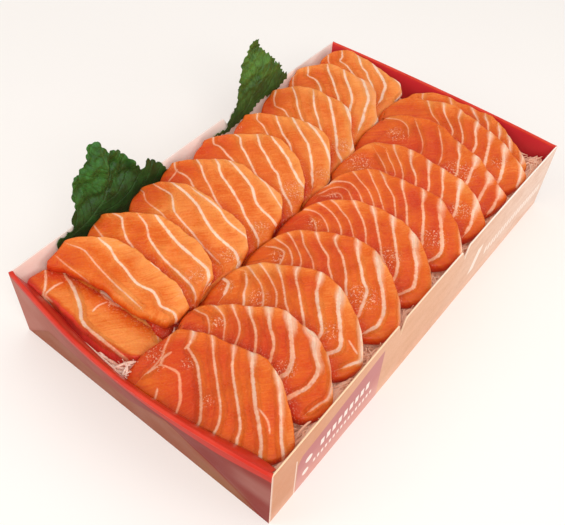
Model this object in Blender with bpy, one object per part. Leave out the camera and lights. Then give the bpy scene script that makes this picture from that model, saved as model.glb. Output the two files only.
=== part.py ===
"""Salmon sashimi in an open card tray.

A rectangular folded-card tray holds a bed of shredded radish, two
shingled rows of sliced fish and two serrated leaves.

Frame: +Z up, +Y along the long side of the tray, +X across it.
The origin is the centre of the tray's underside.
Sizes below are in millimetres and are turned into metres by MM.
"""
import math
import bpy
import bmesh

for old in list(bpy.data.objects):
    bpy.data.objects.remove(old, do_unlink=True)

MM = 0.001

# ---------------------------------------------------------------- tray sizes
TRAY_L = 235.0          # long side, along Y
TRAY_W = 143.7          # short side, along X
TRAY_H = 41.4           # rim height
FLOOR_T = 1.0           # floor card
LONG_T = 0.7            # single card of the long walls
SHORT_T = 1.9           # doubled, folded-over card of the short walls
NEAR_BOW = 7.5          # outward bow of the near short wall at its rim
FAR_BOW = 2.0           # the same, far short wall
LEFT_BOW = 0.9          # outward bow of the left long wall
RIGHT_BOW = -0.8        # the right long wall is drawn slightly inward
NOTCHES = ((-32.9, -29.9, -28.1, 30.6),   # lock slits in the long walls:
           (19.4, 24.0, 26.6, 33.0))      # start, bottom, end along Y, depth z

# -------------------------------------------------------------- slice sizes
TILT = 0.27             # rise per mm towards the far edge
THICK = 5.2             # slice thickness
EDGE_R = 2.4            # rounding of the slice edges
LIFT = 0.9              # lip at the far edge
LIFT_RUN = 8.0          # width of the lip

# cross profile of each row: height offset at stations along X
ROW_LEFT = ((-71, 3.5), (-62, 2.6), (-50, 1.2), (-36, 0.0),
            (-20, -1.2), (-8, -2.8), (2, -4.5))
ROW_RIGHT = ((-16, -3.0), (-4, -1.8), (8, -0.5), (28, 0.0),
             (50, 0.0), (62, -0.4), (71, -1.2))

# One line for each slice. Its far edge is an arch with its crest at
# (crest_x, crest_y), which falls by drop_l to the left end and by drop_r to
# the right end, each with its own curvature power; top is the height of the
# crest, and width is the slice's full width, part of it under its neighbour.
#        crest_y crest_x left  drop_l pow_l right drop_r pow_r top  width
RIGHT_ROW = (
    (-81.0, 34.0, -1.0, 10.0, 1.1, 68.5, 18.5, 2.1, 41.5, 35.5),
    (-58.0, 30.5, -2.2, 17.0, 1.1, 69.0, 18.5, 3.0, 42.0, 39.0),
    (-32.0, 27.5, -5.0, 17.5, 1.25, 67.5, 21.5, 2.6, 42.0, 39.0),
    (-6.0, 31.5, -4.0, 19.0, 1.8, 69.0, 22.0, 2.5, 42.2, 40.0),
    (17.0, 30.5, -4.8, 20.0, 2.4, 69.3, 20.0, 2.7, 42.6, 40.0),
    (41.0, 30.0, -6.0, 21.5, 3.2, 69.3, 17.5, 3.2, 43.0, 40.0),
    (61.5, 22.0, -8.5, 10.5, 3.0, 69.3, 15.5, 3.0, 43.0, 38.0),
    (87.5, 16.5, -12.0, 9.0, 2.4, 68.7, 18.5, 1.4, 44.0, 40.0),
    (106.5, 14.0, -15.5, 9.5, 2.2, 69.0, 17.0, 2.0, 43.4, 40.0),
    (117.0, 15.5, -13.0, 7.0, 3.0, 65.0, 17.5, 2.6, 40.5, 36.0),
)
LEFT_ROW = (
    (-74.5, -36.0, -67.0, 16.0, 2.9, -2.8, 4.5, 3.0, 42.0, 21.0),
    (-52.0, -38.0, -68.5, 17.0, 1.8, -5.5, 8.0, 3.0, 42.0, 38.0),
    (-29.5, -34.0, -67.5, 15.5, 3.5, -4.5, 8.0, 3.3, 42.0, 38.0),
    (-2.0, -34.0, -69.8, 20.0, 2.2, -5.4, 10.5, 3.5, 42.0, 39.0),
    (24.0, -39.0, -69.6, 23.0, 2.0, -6.5, 17.5, 2.4, 42.0, 39.0),
    (46.0, -35.0, -66.5, 16.5, 1.8, -6.5, 19.0, 2.8, 42.0, 38.0),
    (71.5, -35.5, -68.5, 16.5, 2.5, -9.0, 23.5, 2.1, 42.2, 38.0),
    (95.5, -40.5, -70.0, 16.5, 3.2, -13.0, 20.5, 3.4, 42.5, 38.0),
    (113.3, -46.5, -67.0, 14.5, 6.0, -15.0, 6.5, 3.0, 40.8, 34.0),
)
# the front slice of the left row lies flatter, lower and thicker
FRONT = (-90.5, -36.0, -68.8, 13.5, 4.0, -3.0, 3.0, 3.0, 29.0, 23.5)
FRONT_TILT = -0.17
FRONT_THICK = 6.4
OUTER_POWER = 1.9       # bluntness of a slice's end at the tray wall
INNER_POWER = 2.5       # and of its end at the middle of the tray
FRONT_POWER = 2.9

# ---------------------------------------------------------------- bed sizes
BED_TOP = 26.5          # shredded bed where it lies open
BED_FLOOR = 1.4
BED_CLEAR = 0.6         # room left below the slices

# --------------------------------------------------------------- leaf sizes
LEAF_T = 0.6
LEAF_X = -70.3          # plane of the leaves at the rim
LEAF_LEAN = 0.10        # outward lean above the rim


def material(name, colour, rough, metal=0.0):
    mat = bpy.data.materials.new(name)
    mat.use_nodes = True
    bsdf = mat.node_tree.nodes["Principled BSDF"]
    bsdf.inputs["Base Color"].default_value = (*colour, 1.0)
    bsdf.inputs["Roughness"].default_value = rough
    bsdf.inputs["Metallic"].default_value = metal
    return mat


def add_object(name, bm, mat):
    """Close, orient and store a bmesh drawn in millimetres."""
    bmesh.ops.recalc_face_normals(bm, faces=bm.faces[:])
    bmesh.ops.scale(bm, vec=(MM, MM, MM), verts=bm.verts[:])
    mesh = bpy.data.meshes.new(name)
    bm.to_mesh(mesh)
    bm.free()
    mesh.materials.append(mat)
    mesh.shade_smooth()
    mesh.set_sharp_from_angle(angle=math.radians(50))
    obj = bpy.data.objects.new(name, mesh)
    bpy.context.scene.collection.objects.link(obj)
    return obj


def loft(rings, name, mat):
    """Skin closed rings of equal length and cap the first and the last."""
    bm = bmesh.new()
    rows = [[bm.verts.new(p) for p in ring] for ring in rings]
    n = len(rows[0])
    for a, b in zip(rows, rows[1:]):
        for i in range(n):
            j = (i + 1) % n
            bm.faces.new((a[i], a[j], b[j], b[i]))
    bm.faces.new(rows[0])
    bm.faces.new(list(reversed(rows[-1])))
    bmesh.ops.triangulate(bm, faces=bm.faces[:])
    return add_object(name, bm, mat)


def station(profile, x):
    """Piecewise straight profile height at x."""
    if x <= profile[0][0]:
        return profile[0][1]
    for (x0, h0), (x1, h1) in zip(profile, profile[1:]):
        if x <= x1:
            return h0 + (h1 - h0) * (x - x0) / (x1 - x0)
    return profile[-1][1]


# -------------------------------------------------------------------- slices
def far_edge(row, x):
    crest_y, crest_x, left, drop_l, pow_l, right, drop_r, pow_r = row[:8]
    if x < crest_x:
        s = (crest_x - x) / (crest_x - left)
        return crest_y - drop_l * s ** pow_l
    s = (x - crest_x) / (right - crest_x)
    return crest_y - drop_r * s ** pow_r


def slice_width(row, x, powers):
    """Width along Y at x; powers holds the bluntness of the two ends."""
    left, right, width = row[2], row[5], row[9]
    t = 2 * (x - left) / (right - left) - 1
    power = powers[0] if t < 0 else powers[1]
    return width * max(0.0, 1 - abs(t) ** power) ** (1 / power)


def slice_top(row, profile, x, y, tilt=TILT):
    return row[8] + station(profile, x) + tilt * (y - row[0])


def slice_sections(row, profile, powers, tilt, thick, lift):
    """Stations across the slice: profile knots, points halfway between far
    ones, and closer ones at the ends."""
    left, right = row[2], row[5]
    span = right - left
    xs = [left + span * f for f in (0.004, 0.03, 0.09, 0.91, 0.97, 0.996)]
    knots = [k for k, _ in profile]
    knots += [(a + b) / 2 for a, b in zip(knots, knots[1:]) if b - a > 11]
    xs += [k for k in knots if left + 0.13 * span < k < right - 0.13 * span]
    rings = []
    for x in sorted(xs):
        t = abs(2 * (x - left) / span - 1)
        end = max(0.0, (t - 0.80) / 0.20)
        thin = thick * (0.42 + 0.58 * math.sqrt(max(0.0, 1 - end * end)))
        yf = far_edge(row, x)
        h = max(slice_width(row, x, powers), 1.6)
        yn = yf - h
        r = min(EDGE_R, h / 2.4)
        run = min(LIFT_RUN, 0.4 * h)

        def top(y):
            return slice_top(row, profile, x, y, tilt)
        # the ends hang down from the top plane
        sag = 0.5 * (thick - thin)
        ring = []
        for y, depth, up in (
                (yn + 0.8 * r, thin, 0.0),
                (yn, 0.62 * thin, 0.0),
                (yn + 0.35 * r, 0.2 * thin, 0.0),
                (yn + 1.1 * r, 0.0, 0.0),
                (yf - max(run, 1.5 * r), 0.0, 0.0),
                (yf - 1.1 * r, 0.0, lift),
                (yf - 0.3 * r, 0.22 * thin, lift),
                (yf, 0.6 * thin, lift),
                (yf - 0.8 * r, thin, 0.8 * lift),
                (yf - max(run, 1.5 * r), thin, 0.0)):
            ring.append((x, y, top(y) - sag - depth + up))
        rings.append(ring)
    return rings


salmon = material("salmon", (0.80, 0.20, 0.045), 0.28)


def all_slices():
    """name, row, cross profile, end powers, tilt, thickness, lip."""
    yield ("slice_a01", FRONT, ROW_LEFT, (FRONT_POWER, FRONT_POWER),
           FRONT_TILT, FRONT_THICK, 0.0)
    for i, row in enumerate(LEFT_ROW):
        yield ("slice_a%02d" % (i + 2), row, ROW_LEFT,
               (OUTER_POWER, INNER_POWER), TILT, THICK, LIFT)
    for i, row in enumerate(RIGHT_ROW):
        yield ("slice_b%02d" % (i + 1), row, ROW_RIGHT,
               (INNER_POWER, OUTER_POWER), TILT, THICK, LIFT)


for name, row, profile, powers, tilt, thick, lift in all_slices():
    loft(slice_sections(row, profile, powers, tilt, thick, lift),
         name, salmon)


# ---------------------------------------------------------------------- tray
def bow_y(x, z, sign):
    """Outward shift of a short wall at (x, z)."""
    amount = FAR_BOW if sign > 0 else NEAR_BOW
    return sign * amount * (max(z, 0.0) / TRAY_H) ** 1.3 * \
        math.cos(math.pi * x / TRAY_W)


def bow_x(y, z, sign):
    """Outward shift of a long wall at (y, z)."""
    amount = RIGHT_BOW if sign > 0 else LEFT_BOW
    return sign * amount * (max(z, 0.0) / TRAY_H) * \
        math.cos(math.pi * y / TRAY_L)


def wall_height(y):
    """Rim height of the long walls, with the lock slits."""
    for start, low, end, z in NOTCHES:
        if start < y < end:
            if y < low:
                return TRAY_H + (z - TRAY_H) * (y - start) / (low - start)
            return z + (TRAY_H - z) * (y - low) / (end - low)
    return TRAY_H


def tray_outline():
    """Points round the tray with the side that each one lies on."""
    hx, hy = TRAY_W / 2, TRAY_L / 2
    n_short = 12
    ys = {-hy + TRAY_L * k / 16 for k in range(17)}
    for start, low, end, _ in NOTCHES:
        ys = {y for y in ys if not start - 3 < y < end + 3}
        ys |= {start, low, end}
    ys = sorted(ys)
    pts = []
    for k in range(n_short):
        pts.append((-hx + TRAY_W * k / n_short, -hy, "near"))
    for y in ys[:-1]:
        pts.append((hx, y, "right"))
    for k in range(n_short):
        pts.append((hx - TRAY_W * k / n_short, hy, "far"))
    for y in reversed(ys[1:]):
        pts.append((-hx, y, "left"))
    return pts


def tray_ring(inset, frac, drop):
    """One ring of the wall: inset 0 outside to 1 inside, frac of the
    height, drop below the rim for the rounded edge (short-wall scale)."""
    hx, hy = TRAY_W / 2, TRAY_L / 2
    ring = []
    for x, y, side in tray_outline():
        corner = abs(abs(x) - hx) < 1e-6 and abs(abs(y) - hy) < 1e-6
        on_long = side in ("right", "left") and not corner
        top = wall_height(y) if on_long else TRAY_H
        scale = LONG_T / SHORT_T if (on_long or corner) else 1.0
        z = frac if frac > 1 else top * frac
        if frac == 1:
            z = top - drop * scale
        px, py = x, y
        if side in ("near", "far") or corner:
            sy = 1 if y > 0 else -1
            py = y - sy * SHORT_T * inset + bow_y(x, z, sy)
        if on_long or corner:
            sx = 1 if x > 0 else -1
            px = x - sx * LONG_T * inset
            px += bow_x(y, z, sx)
        ring.append((px, py, z))
    return ring


card = material("tray_card", (0.62, 0.36, 0.22), 0.45)
R = SHORT_T / 2
rings = [tray_ring(0.0, 0.0, 0.0),
         tray_ring(0.0, 0.35, 0.0),
         tray_ring(0.0, 0.68, 0.0),
         tray_ring(0.0, 1, R),
         tray_ring(0.15, 1, 0.3 * R),
         tray_ring(0.5, 1, 0.0),
         tray_ring(0.85, 1, 0.3 * R),
         tray_ring(1.0, 1, R),
         tray_ring(1.0, 0.68, 0.0),
         tray_ring(1.0, 0.35, 0.0)]
floor = tray_ring(1.0, 0.0, 0.0)
rings.append([(x, y, FLOOR_T) for x, y, z in floor])
loft(rings, "tray", card)


# ----------------------------------------------------------------------- bed
def underside(x, y):
    """Lowest slice underside over (x, y), or None."""
    low = None
    for _, row, profile, powers, tilt, thick, _ in all_slices():
        if row[2] <= x <= row[5]:
            yf = far_edge(row, x)
            if yf - slice_width(row, x, powers) <= y <= yf:
                z = slice_top(row, profile, x, y, tilt) - thick
                low = z if low is None else min(low, z)
    return low


def make_bed():
    """Heap of fine shreds out to its uneven top."""
    nx, ny = 16, 26
    x0, x1 = -TRAY_W / 2 + LONG_T + 1.3, TRAY_W / 2 - LONG_T - 1.3
    y0, y1 = -TRAY_L / 2 + SHORT_T + 0.5, TRAY_L / 2 - SHORT_T - 0.5
    dx, dy = (x1 - x0) / nx, (y1 - y0) / ny
    tops = {}
    for i in range(nx + 1):
        for j in range(ny + 1):
            x, y = x0 + i * dx, y0 + j * dy
            z = BED_TOP + 1.1 * math.sin(0.31 * x + 0.17 * y) * \
                math.cos(0.23 * y - 0.11 * x)
            for a in range(-4, 5):
                for b in range(-4, 5):
                    low = underside(x + a * dx / 3.6, y + b * dy / 3.6)
                    if low is not None:
                        z = min(z, low - BED_CLEAR)
            tops[i, j] = z
    bm = bmesh.new()

    def bed_y(i, j, z):
        x, y = x0 + i * dx, y0 + j * dy
        if j == 0:
            y += bow_y(x, z, -1)
        if j == ny:
            y += bow_y(x, z, 1)
        return y
    top = {(i, j): bm.verts.new((x0 + i * dx, bed_y(i, j, tops[i, j]),
                                 tops[i, j]))
           for i in range(nx + 1) for j in range(ny + 1)}
    for i in range(nx):
        for j in range(ny):
            bm.faces.new((top[i, j], top[i + 1, j],
                          top[i + 1, j + 1], top[i, j + 1]))
    rim = [(i, 0) for i in range(nx)] + [(nx, j) for j in range(ny)]
    rim += [(i, ny) for i in range(nx, 0, -1)] + \
        [(0, j) for j in range(ny, 0, -1)]
    mid = {k: bm.verts.new((x0 + k[0] * dx, bed_y(*k, 12.0), 12.0))
           for k in rim}
    low = {k: bm.verts.new((x0 + k[0] * dx, y0 + k[1] * dy, BED_FLOOR))
           for k in rim}
    for a, b in zip(rim, rim[1:] + rim[:1]):
        bm.faces.new((top[b], top[a], mid[a], mid[b]))
        bm.faces.new((mid[b], mid[a], low[a], low[b]))
    bm.faces.new([low[k] for k in reversed(rim)])
    bmesh.ops.triangulate(bm, faces=bm.faces[:])
    add_object("daikon_bed", bm, material("daikon", (0.86, 0.74, 0.68), 0.35))


make_bed()


# -------------------------------------------------------------------- leaves
def make_leaf(name, foot, tip, half_widths, skew, curl):
    """Thin upright leaf: a midrib from foot to tip in the (Y, Z) plane, with
    a half width on each side at equal steps along it."""
    fy, fz = foot
    ty, tz = tip
    length = math.hypot(ty - fy, tz - fz)
    uy, uz = (ty - fy) / length, (tz - fz) / length
    n = len(half_widths) - 1
    side = 3

    def place(y, z, off):
        x = LEAF_X - LEAF_LEAN * max(0.0, z - TRAY_H) + off
        x -= 0.004 * max(0.0, z - TRAY_H) ** 2 * curl
        return (x, y, z)
    front, back = [], []
    for k, (wl, wr) in enumerate(half_widths):
        s = length * k / n
        cy = fy + uy * s + skew * math.sin(math.pi * k / n)
        cz = fz + uz * s
        row_f, row_b = [], []
        for m in range(-side, side + 1):
            w = wr * m / side if m > 0 else wl * m / side
            y, z = cy + uz * w, cz - uy * w
            row_f.append(place(y, z, 0.0))
            row_b.append(place(y, z, -LEAF_T))
        front.append(row_f)
        back.append(row_b)
    rings = [f + list(reversed(b)) for f, b in zip(front, back)]
    loft(rings, name, material(name, (0.10, 0.28, 0.06), 0.5))


make_leaf("leaf_near", (-62.0, 30.0), (-60.0, 77.0),
          ((22, 12), (31, 22), (28, 33), (19, 31), (15, 20), (9, 10),
           (1.2, 1.2)), 0.0, 0.3)
make_leaf("leaf_far", (27.0, 29.0), (45.0, 77.0),
          ((12, 8), (14, 18), (13, 24), (12, 22), (9, 15), (5, 7),
           (0.8, 0.8)), 0.0, 0.3)
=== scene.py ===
"""Looks for the salmon sashimi tray.

Every length below is in millimetres unless it says otherwise; MM turns them
into metres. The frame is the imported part's: +Z up, +Y along the long side,
origin under the middle of the tray.
"""
import math

import bpy
import numpy as np
from mathutils import Matrix


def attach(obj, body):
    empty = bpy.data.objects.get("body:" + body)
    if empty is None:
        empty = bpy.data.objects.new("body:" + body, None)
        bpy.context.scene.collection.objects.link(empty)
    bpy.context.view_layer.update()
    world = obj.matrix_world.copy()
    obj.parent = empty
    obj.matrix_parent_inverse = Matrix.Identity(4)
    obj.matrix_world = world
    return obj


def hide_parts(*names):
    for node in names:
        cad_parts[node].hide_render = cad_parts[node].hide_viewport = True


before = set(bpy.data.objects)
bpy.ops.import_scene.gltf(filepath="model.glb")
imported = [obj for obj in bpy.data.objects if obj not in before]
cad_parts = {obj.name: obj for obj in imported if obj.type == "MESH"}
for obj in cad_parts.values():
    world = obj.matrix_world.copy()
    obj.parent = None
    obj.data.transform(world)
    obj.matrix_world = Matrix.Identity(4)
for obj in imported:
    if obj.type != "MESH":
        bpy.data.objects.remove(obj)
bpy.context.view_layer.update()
MM = 0.001
scene = bpy.context.scene

# --------------------------------------------------------------- tray sizes
TRAY_L, TRAY_W, TRAY_H = 235.0, 143.7, 41.4
FLOOR_T, LONG_T, SHORT_T = 1.0, 0.7, 1.9
NEAR_BOW, FAR_BOW, LEFT_BOW, RIGHT_BOW = 7.5, 2.0, 0.9, -0.8
NOTCHES = ((-33.4, -29.7, -27.0, 30.6), (19.4, 24.0, 26.6, 33.0))

# -------------------------------------------------------------- slice sizes
TILT, THICK = 0.27, 5.2
ROW_LEFT = ((-71, 3.5), (-62, 2.6), (-50, 1.2), (-36, 0.0),
            (-20, -1.2), (-8, -2.8), (2, -4.5))
ROW_RIGHT = ((-16, -3.0), (-4, -1.8), (8, -0.5), (28, 0.0),
             (50, 0.0), (62, -0.4), (71, -1.2))
RIGHT_ROW = (
    (-81.0, 34.0, -1.0, 10.0, 1.1, 68.5, 18.5, 2.1, 41.5, 35.5),
    (-58.0, 30.5, -2.2, 17.0, 1.1, 69.0, 18.5, 3.0, 42.0, 39.0),
    (-32.0, 27.5, -5.0, 17.5, 1.25, 67.5, 21.5, 2.6, 42.0, 39.0),
    (-6.0, 31.5, -4.0, 19.0, 1.8, 69.0, 22.0, 2.5, 42.2, 40.0),
    (17.0, 30.5, -4.8, 20.0, 2.4, 69.3, 20.0, 2.7, 42.6, 40.0),
    (41.0, 30.0, -6.0, 21.5, 3.2, 69.3, 17.5, 3.2, 43.0, 40.0),
    (61.5, 22.0, -8.5, 10.5, 3.0, 69.3, 15.5, 3.0, 43.0, 38.0),
    (87.5, 16.5, -12.0, 9.0, 2.4, 68.7, 18.5, 1.4, 44.0, 40.0),
    (106.5, 14.0, -15.5, 9.5, 2.2, 69.0, 17.0, 2.0, 43.4, 40.0),
    (117.0, 15.5, -13.0, 7.0, 3.0, 65.0, 17.5, 2.6, 40.5, 36.0),
)
LEFT_ROW = (
    (-74.5, -36.0, -67.0, 16.0, 2.9, -2.8, 4.5, 3.0, 42.0, 21.0),
    (-52.0, -38.0, -68.5, 17.0, 1.8, -5.5, 8.0, 3.0, 42.0, 38.0),
    (-29.5, -34.0, -67.5, 15.5, 3.5, -4.5, 8.0, 3.3, 42.0, 38.0),
    (-2.0, -34.0, -69.8, 20.0, 2.2, -5.4, 10.5, 3.5, 42.0, 39.0),
    (24.0, -39.0, -69.6, 23.0, 2.0, -6.5, 17.5, 2.4, 42.0, 39.0),
    (46.0, -35.0, -66.5, 16.5, 1.8, -6.5, 19.0, 2.8, 42.0, 38.0),
    (71.5, -35.5, -68.5, 16.5, 2.5, -9.0, 23.5, 2.1, 42.2, 38.0),
    (95.5, -40.5, -70.0, 16.5, 3.2, -13.0, 20.5, 3.4, 42.5, 38.0),
    (113.3, -46.5, -67.0, 14.5, 6.0, -15.0, 6.5, 3.0, 40.8, 34.0),
)
FRONT = (-90.5, -36.0, -68.8, 13.5, 4.0, -3.0, 3.0, 3.0, 29.0, 23.5)
FRONT_TILT, FRONT_THICK = -0.17, 6.4
OUTER_POWER, INNER_POWER, FRONT_POWER = 1.9, 2.5, 2.9

# ------------------------------------------------------------------- camera
CAM = np.array([135.40, -207.49, 283.80])
CAM_AZ, CAM_EL, CAM_ROLL = 35.782, 49.193, 3.6113
CAM_F = 734.44           # focal length in pixels of the 565 x 525 frame


def camera_axes():
    az, el, ro = (math.radians(v) for v in (CAM_AZ, CAM_EL, CAM_ROLL))
    back = np.array([math.sin(az) * math.cos(el),
                     -math.cos(az) * math.cos(el), math.sin(el)])
    right = np.cross(-back, [0, 0, 1])
    right /= np.linalg.norm(right)
    up = np.cross(right, -back)
    r2 = right * math.cos(ro) + up * math.sin(ro)
    u2 = -right * math.sin(ro) + up * math.cos(ro)
    return r2, u2, back


CAM_R, CAM_U, CAM_B = camera_axes()


def on_plane(px, py, normal, d):
    """Point of the plane normal . p = d that lies on a view ray."""
    ray = -CAM_B * CAM_F + (px - 282.5) * CAM_R - (py - 262.5) * CAM_U
    t = (d - CAM @ normal) / (ray @ normal)
    return CAM + ray * t


# -------------------------------------------------------------- small tools
def rnd(seed):
    return np.random.default_rng(seed)


def smooth(a, b, x):
    t = np.clip((x - a) / (b - a), 0.0, 1.0)
    return t * t * (3 - 2 * t)


def waves(x, y, seed, scale, n=7):
    """Smooth random relief of about unit height and the given wavelength."""
    g = rnd(seed)
    out = np.zeros(np.broadcast(x, y).shape)
    for _ in range(n):
        a = g.uniform(0, 2 * math.pi)
        k = 2 * math.pi / (scale * g.uniform(0.7, 1.5))
        out = out + np.sin(k * (x * math.cos(a) + y * math.sin(a)) +
                           g.uniform(0, 6.28))
    return out / math.sqrt(n)


def station(profile, x):
    xs = [p[0] for p in profile]
    hs = [p[1] for p in profile]
    return np.interp(x, xs, hs)


def new_mesh(name, verts, faces, mats, attrs=None, face_mats=None,
             smooth_shade=True, sharp=None):
    """Object from millimetre vertices, with per-vertex float attributes."""
    me = bpy.data.meshes.new(name)
    me.from_pydata((np.asarray(verts, float) * MM).tolist(), [],
                   [list(map(int, f)) for f in faces])
    if not isinstance(mats, (list, tuple)):
        mats = [mats]
    for m in mats:
        me.materials.append(m)
    if face_mats is not None:
        me.polygons.foreach_set("material_index",
                                np.asarray(face_mats, dtype=np.int32))
    for key, val in (attrs or {}).items():
        val = np.asarray(val, dtype=np.float32)
        if val.ndim == 1:
            at = me.attributes.new(key, "FLOAT", "POINT")
            at.data.foreach_set("value", val)
        else:
            at = me.attributes.new(key, "FLOAT_VECTOR", "POINT")
            at.data.foreach_set("vector", val.ravel())
    if smooth_shade:
        me.shade_smooth()
        if sharp is not None:
            me.set_sharp_from_angle(angle=math.radians(sharp))
    me.update()
    ob = bpy.data.objects.new(name, me)
    scene.collection.objects.link(ob)
    return ob


def srgb(h):
    """#RRGGBB to linear."""
    out = []
    for k in (1, 3, 5):
        v = int(h[k:k + 2], 16) / 255
        out.append(v / 12.92 if v <= 0.04045 else ((v + 0.055) / 1.055) ** 2.4)
    return (*out, 1.0)


# ----------------------------------------------------------- shader helpers
class Nodes:
    """Short-hand for wiring a material."""

    def __init__(self, name):
        self.mat = bpy.data.materials.new(name)
        self.mat.use_nodes = True
        self.nt = self.mat.node_tree
        self.bsdf = self.nt.nodes["Principled BSDF"]

    def put(self, sock, val):
        if isinstance(val, bpy.types.NodeSocket):
            self.nt.links.new(val, sock)
        elif val is not None:
            sock.default_value = val

    def node(self, kind, **kw):
        n = self.nt.nodes.new(kind)
        for k, v in kw.items():
            setattr(n, k, v)
        return n

    def math(self, op, a, b=None, c=None, clamp=False):
        n = self.node("ShaderNodeMath", operation=op, use_clamp=clamp)
        for s, v in zip(n.inputs, (a, b, c)):
            self.put(s, v)
        return n.outputs[0]

    def attr(self, name, vec=False):
        n = self.node("ShaderNodeAttribute", attribute_name=name)
        return n.outputs["Vector" if vec else "Fac"]

    def ramp(self, x, lo, hi, a=0.0, b=1.0, smooth_step=True):
        n = self.node("ShaderNodeMapRange")
        n.interpolation_type = "SMOOTHSTEP" if smooth_step else "LINEAR"
        for s, v in zip(n.inputs, (x, lo, hi, a, b)):
            self.put(s, v)
        return n.outputs[0]

    def mix(self, f, a, b, mode="MIX"):
        n = self.node("ShaderNodeMix", data_type="RGBA", blend_type=mode)
        self.put(n.inputs[0], f)
        self.put(n.inputs[6], a)
        self.put(n.inputs[7], b)
        return n.outputs[2]

    def coord(self):
        return self.node("ShaderNodeTexCoord").outputs["Object"]

    def xyz(self, v):
        n = self.node("ShaderNodeSeparateXYZ")
        self.put(n.inputs[0], v)
        return n.outputs

    def join(self, x, y, z):
        n = self.node("ShaderNodeCombineXYZ")
        for s, v in zip(n.inputs, (x, y, z)):
            self.put(s, v)
        return n.outputs[0]

    def noise(self, vec, scale, detail=3.0, rough=0.55, distort=0.0):
        n = self.node("ShaderNodeTexNoise")
        self.put(n.inputs["Vector"], vec)
        n.inputs["Scale"].default_value = scale
        n.inputs["Detail"].default_value = detail
        n.inputs["Roughness"].default_value = rough
        n.inputs["Distortion"].default_value = distort
        return n.outputs["Fac"]

    def bump(self, height, dist, strength=1.0, normal=None):
        n = self.node("ShaderNodeBump")
        self.put(n.inputs["Height"], height)
        n.inputs["Distance"].default_value = dist
        n.inputs["Strength"].default_value = strength
        self.put(n.inputs["Normal"], normal)
        return n.outputs[0]

    def set(self, **kw):
        names = {"color": "Base Color", "rough": "Roughness",
                 "normal": "Normal", "sss": "Subsurface Weight",
                 "sss_scale": "Subsurface Scale",
                 "sss_radius": "Subsurface Radius",
                 "spec": "Specular IOR Level", "coat": "Coat Weight",
                 "coat_rough": "Coat Roughness", "ior": "IOR",
                 "metal": "Metallic", "sheen": "Sheen Weight",
                 "trans": "Transmission Weight"}
        for k, v in kw.items():
            self.put(self.bsdf.inputs[names[k]], v)
        return self.mat


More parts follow.
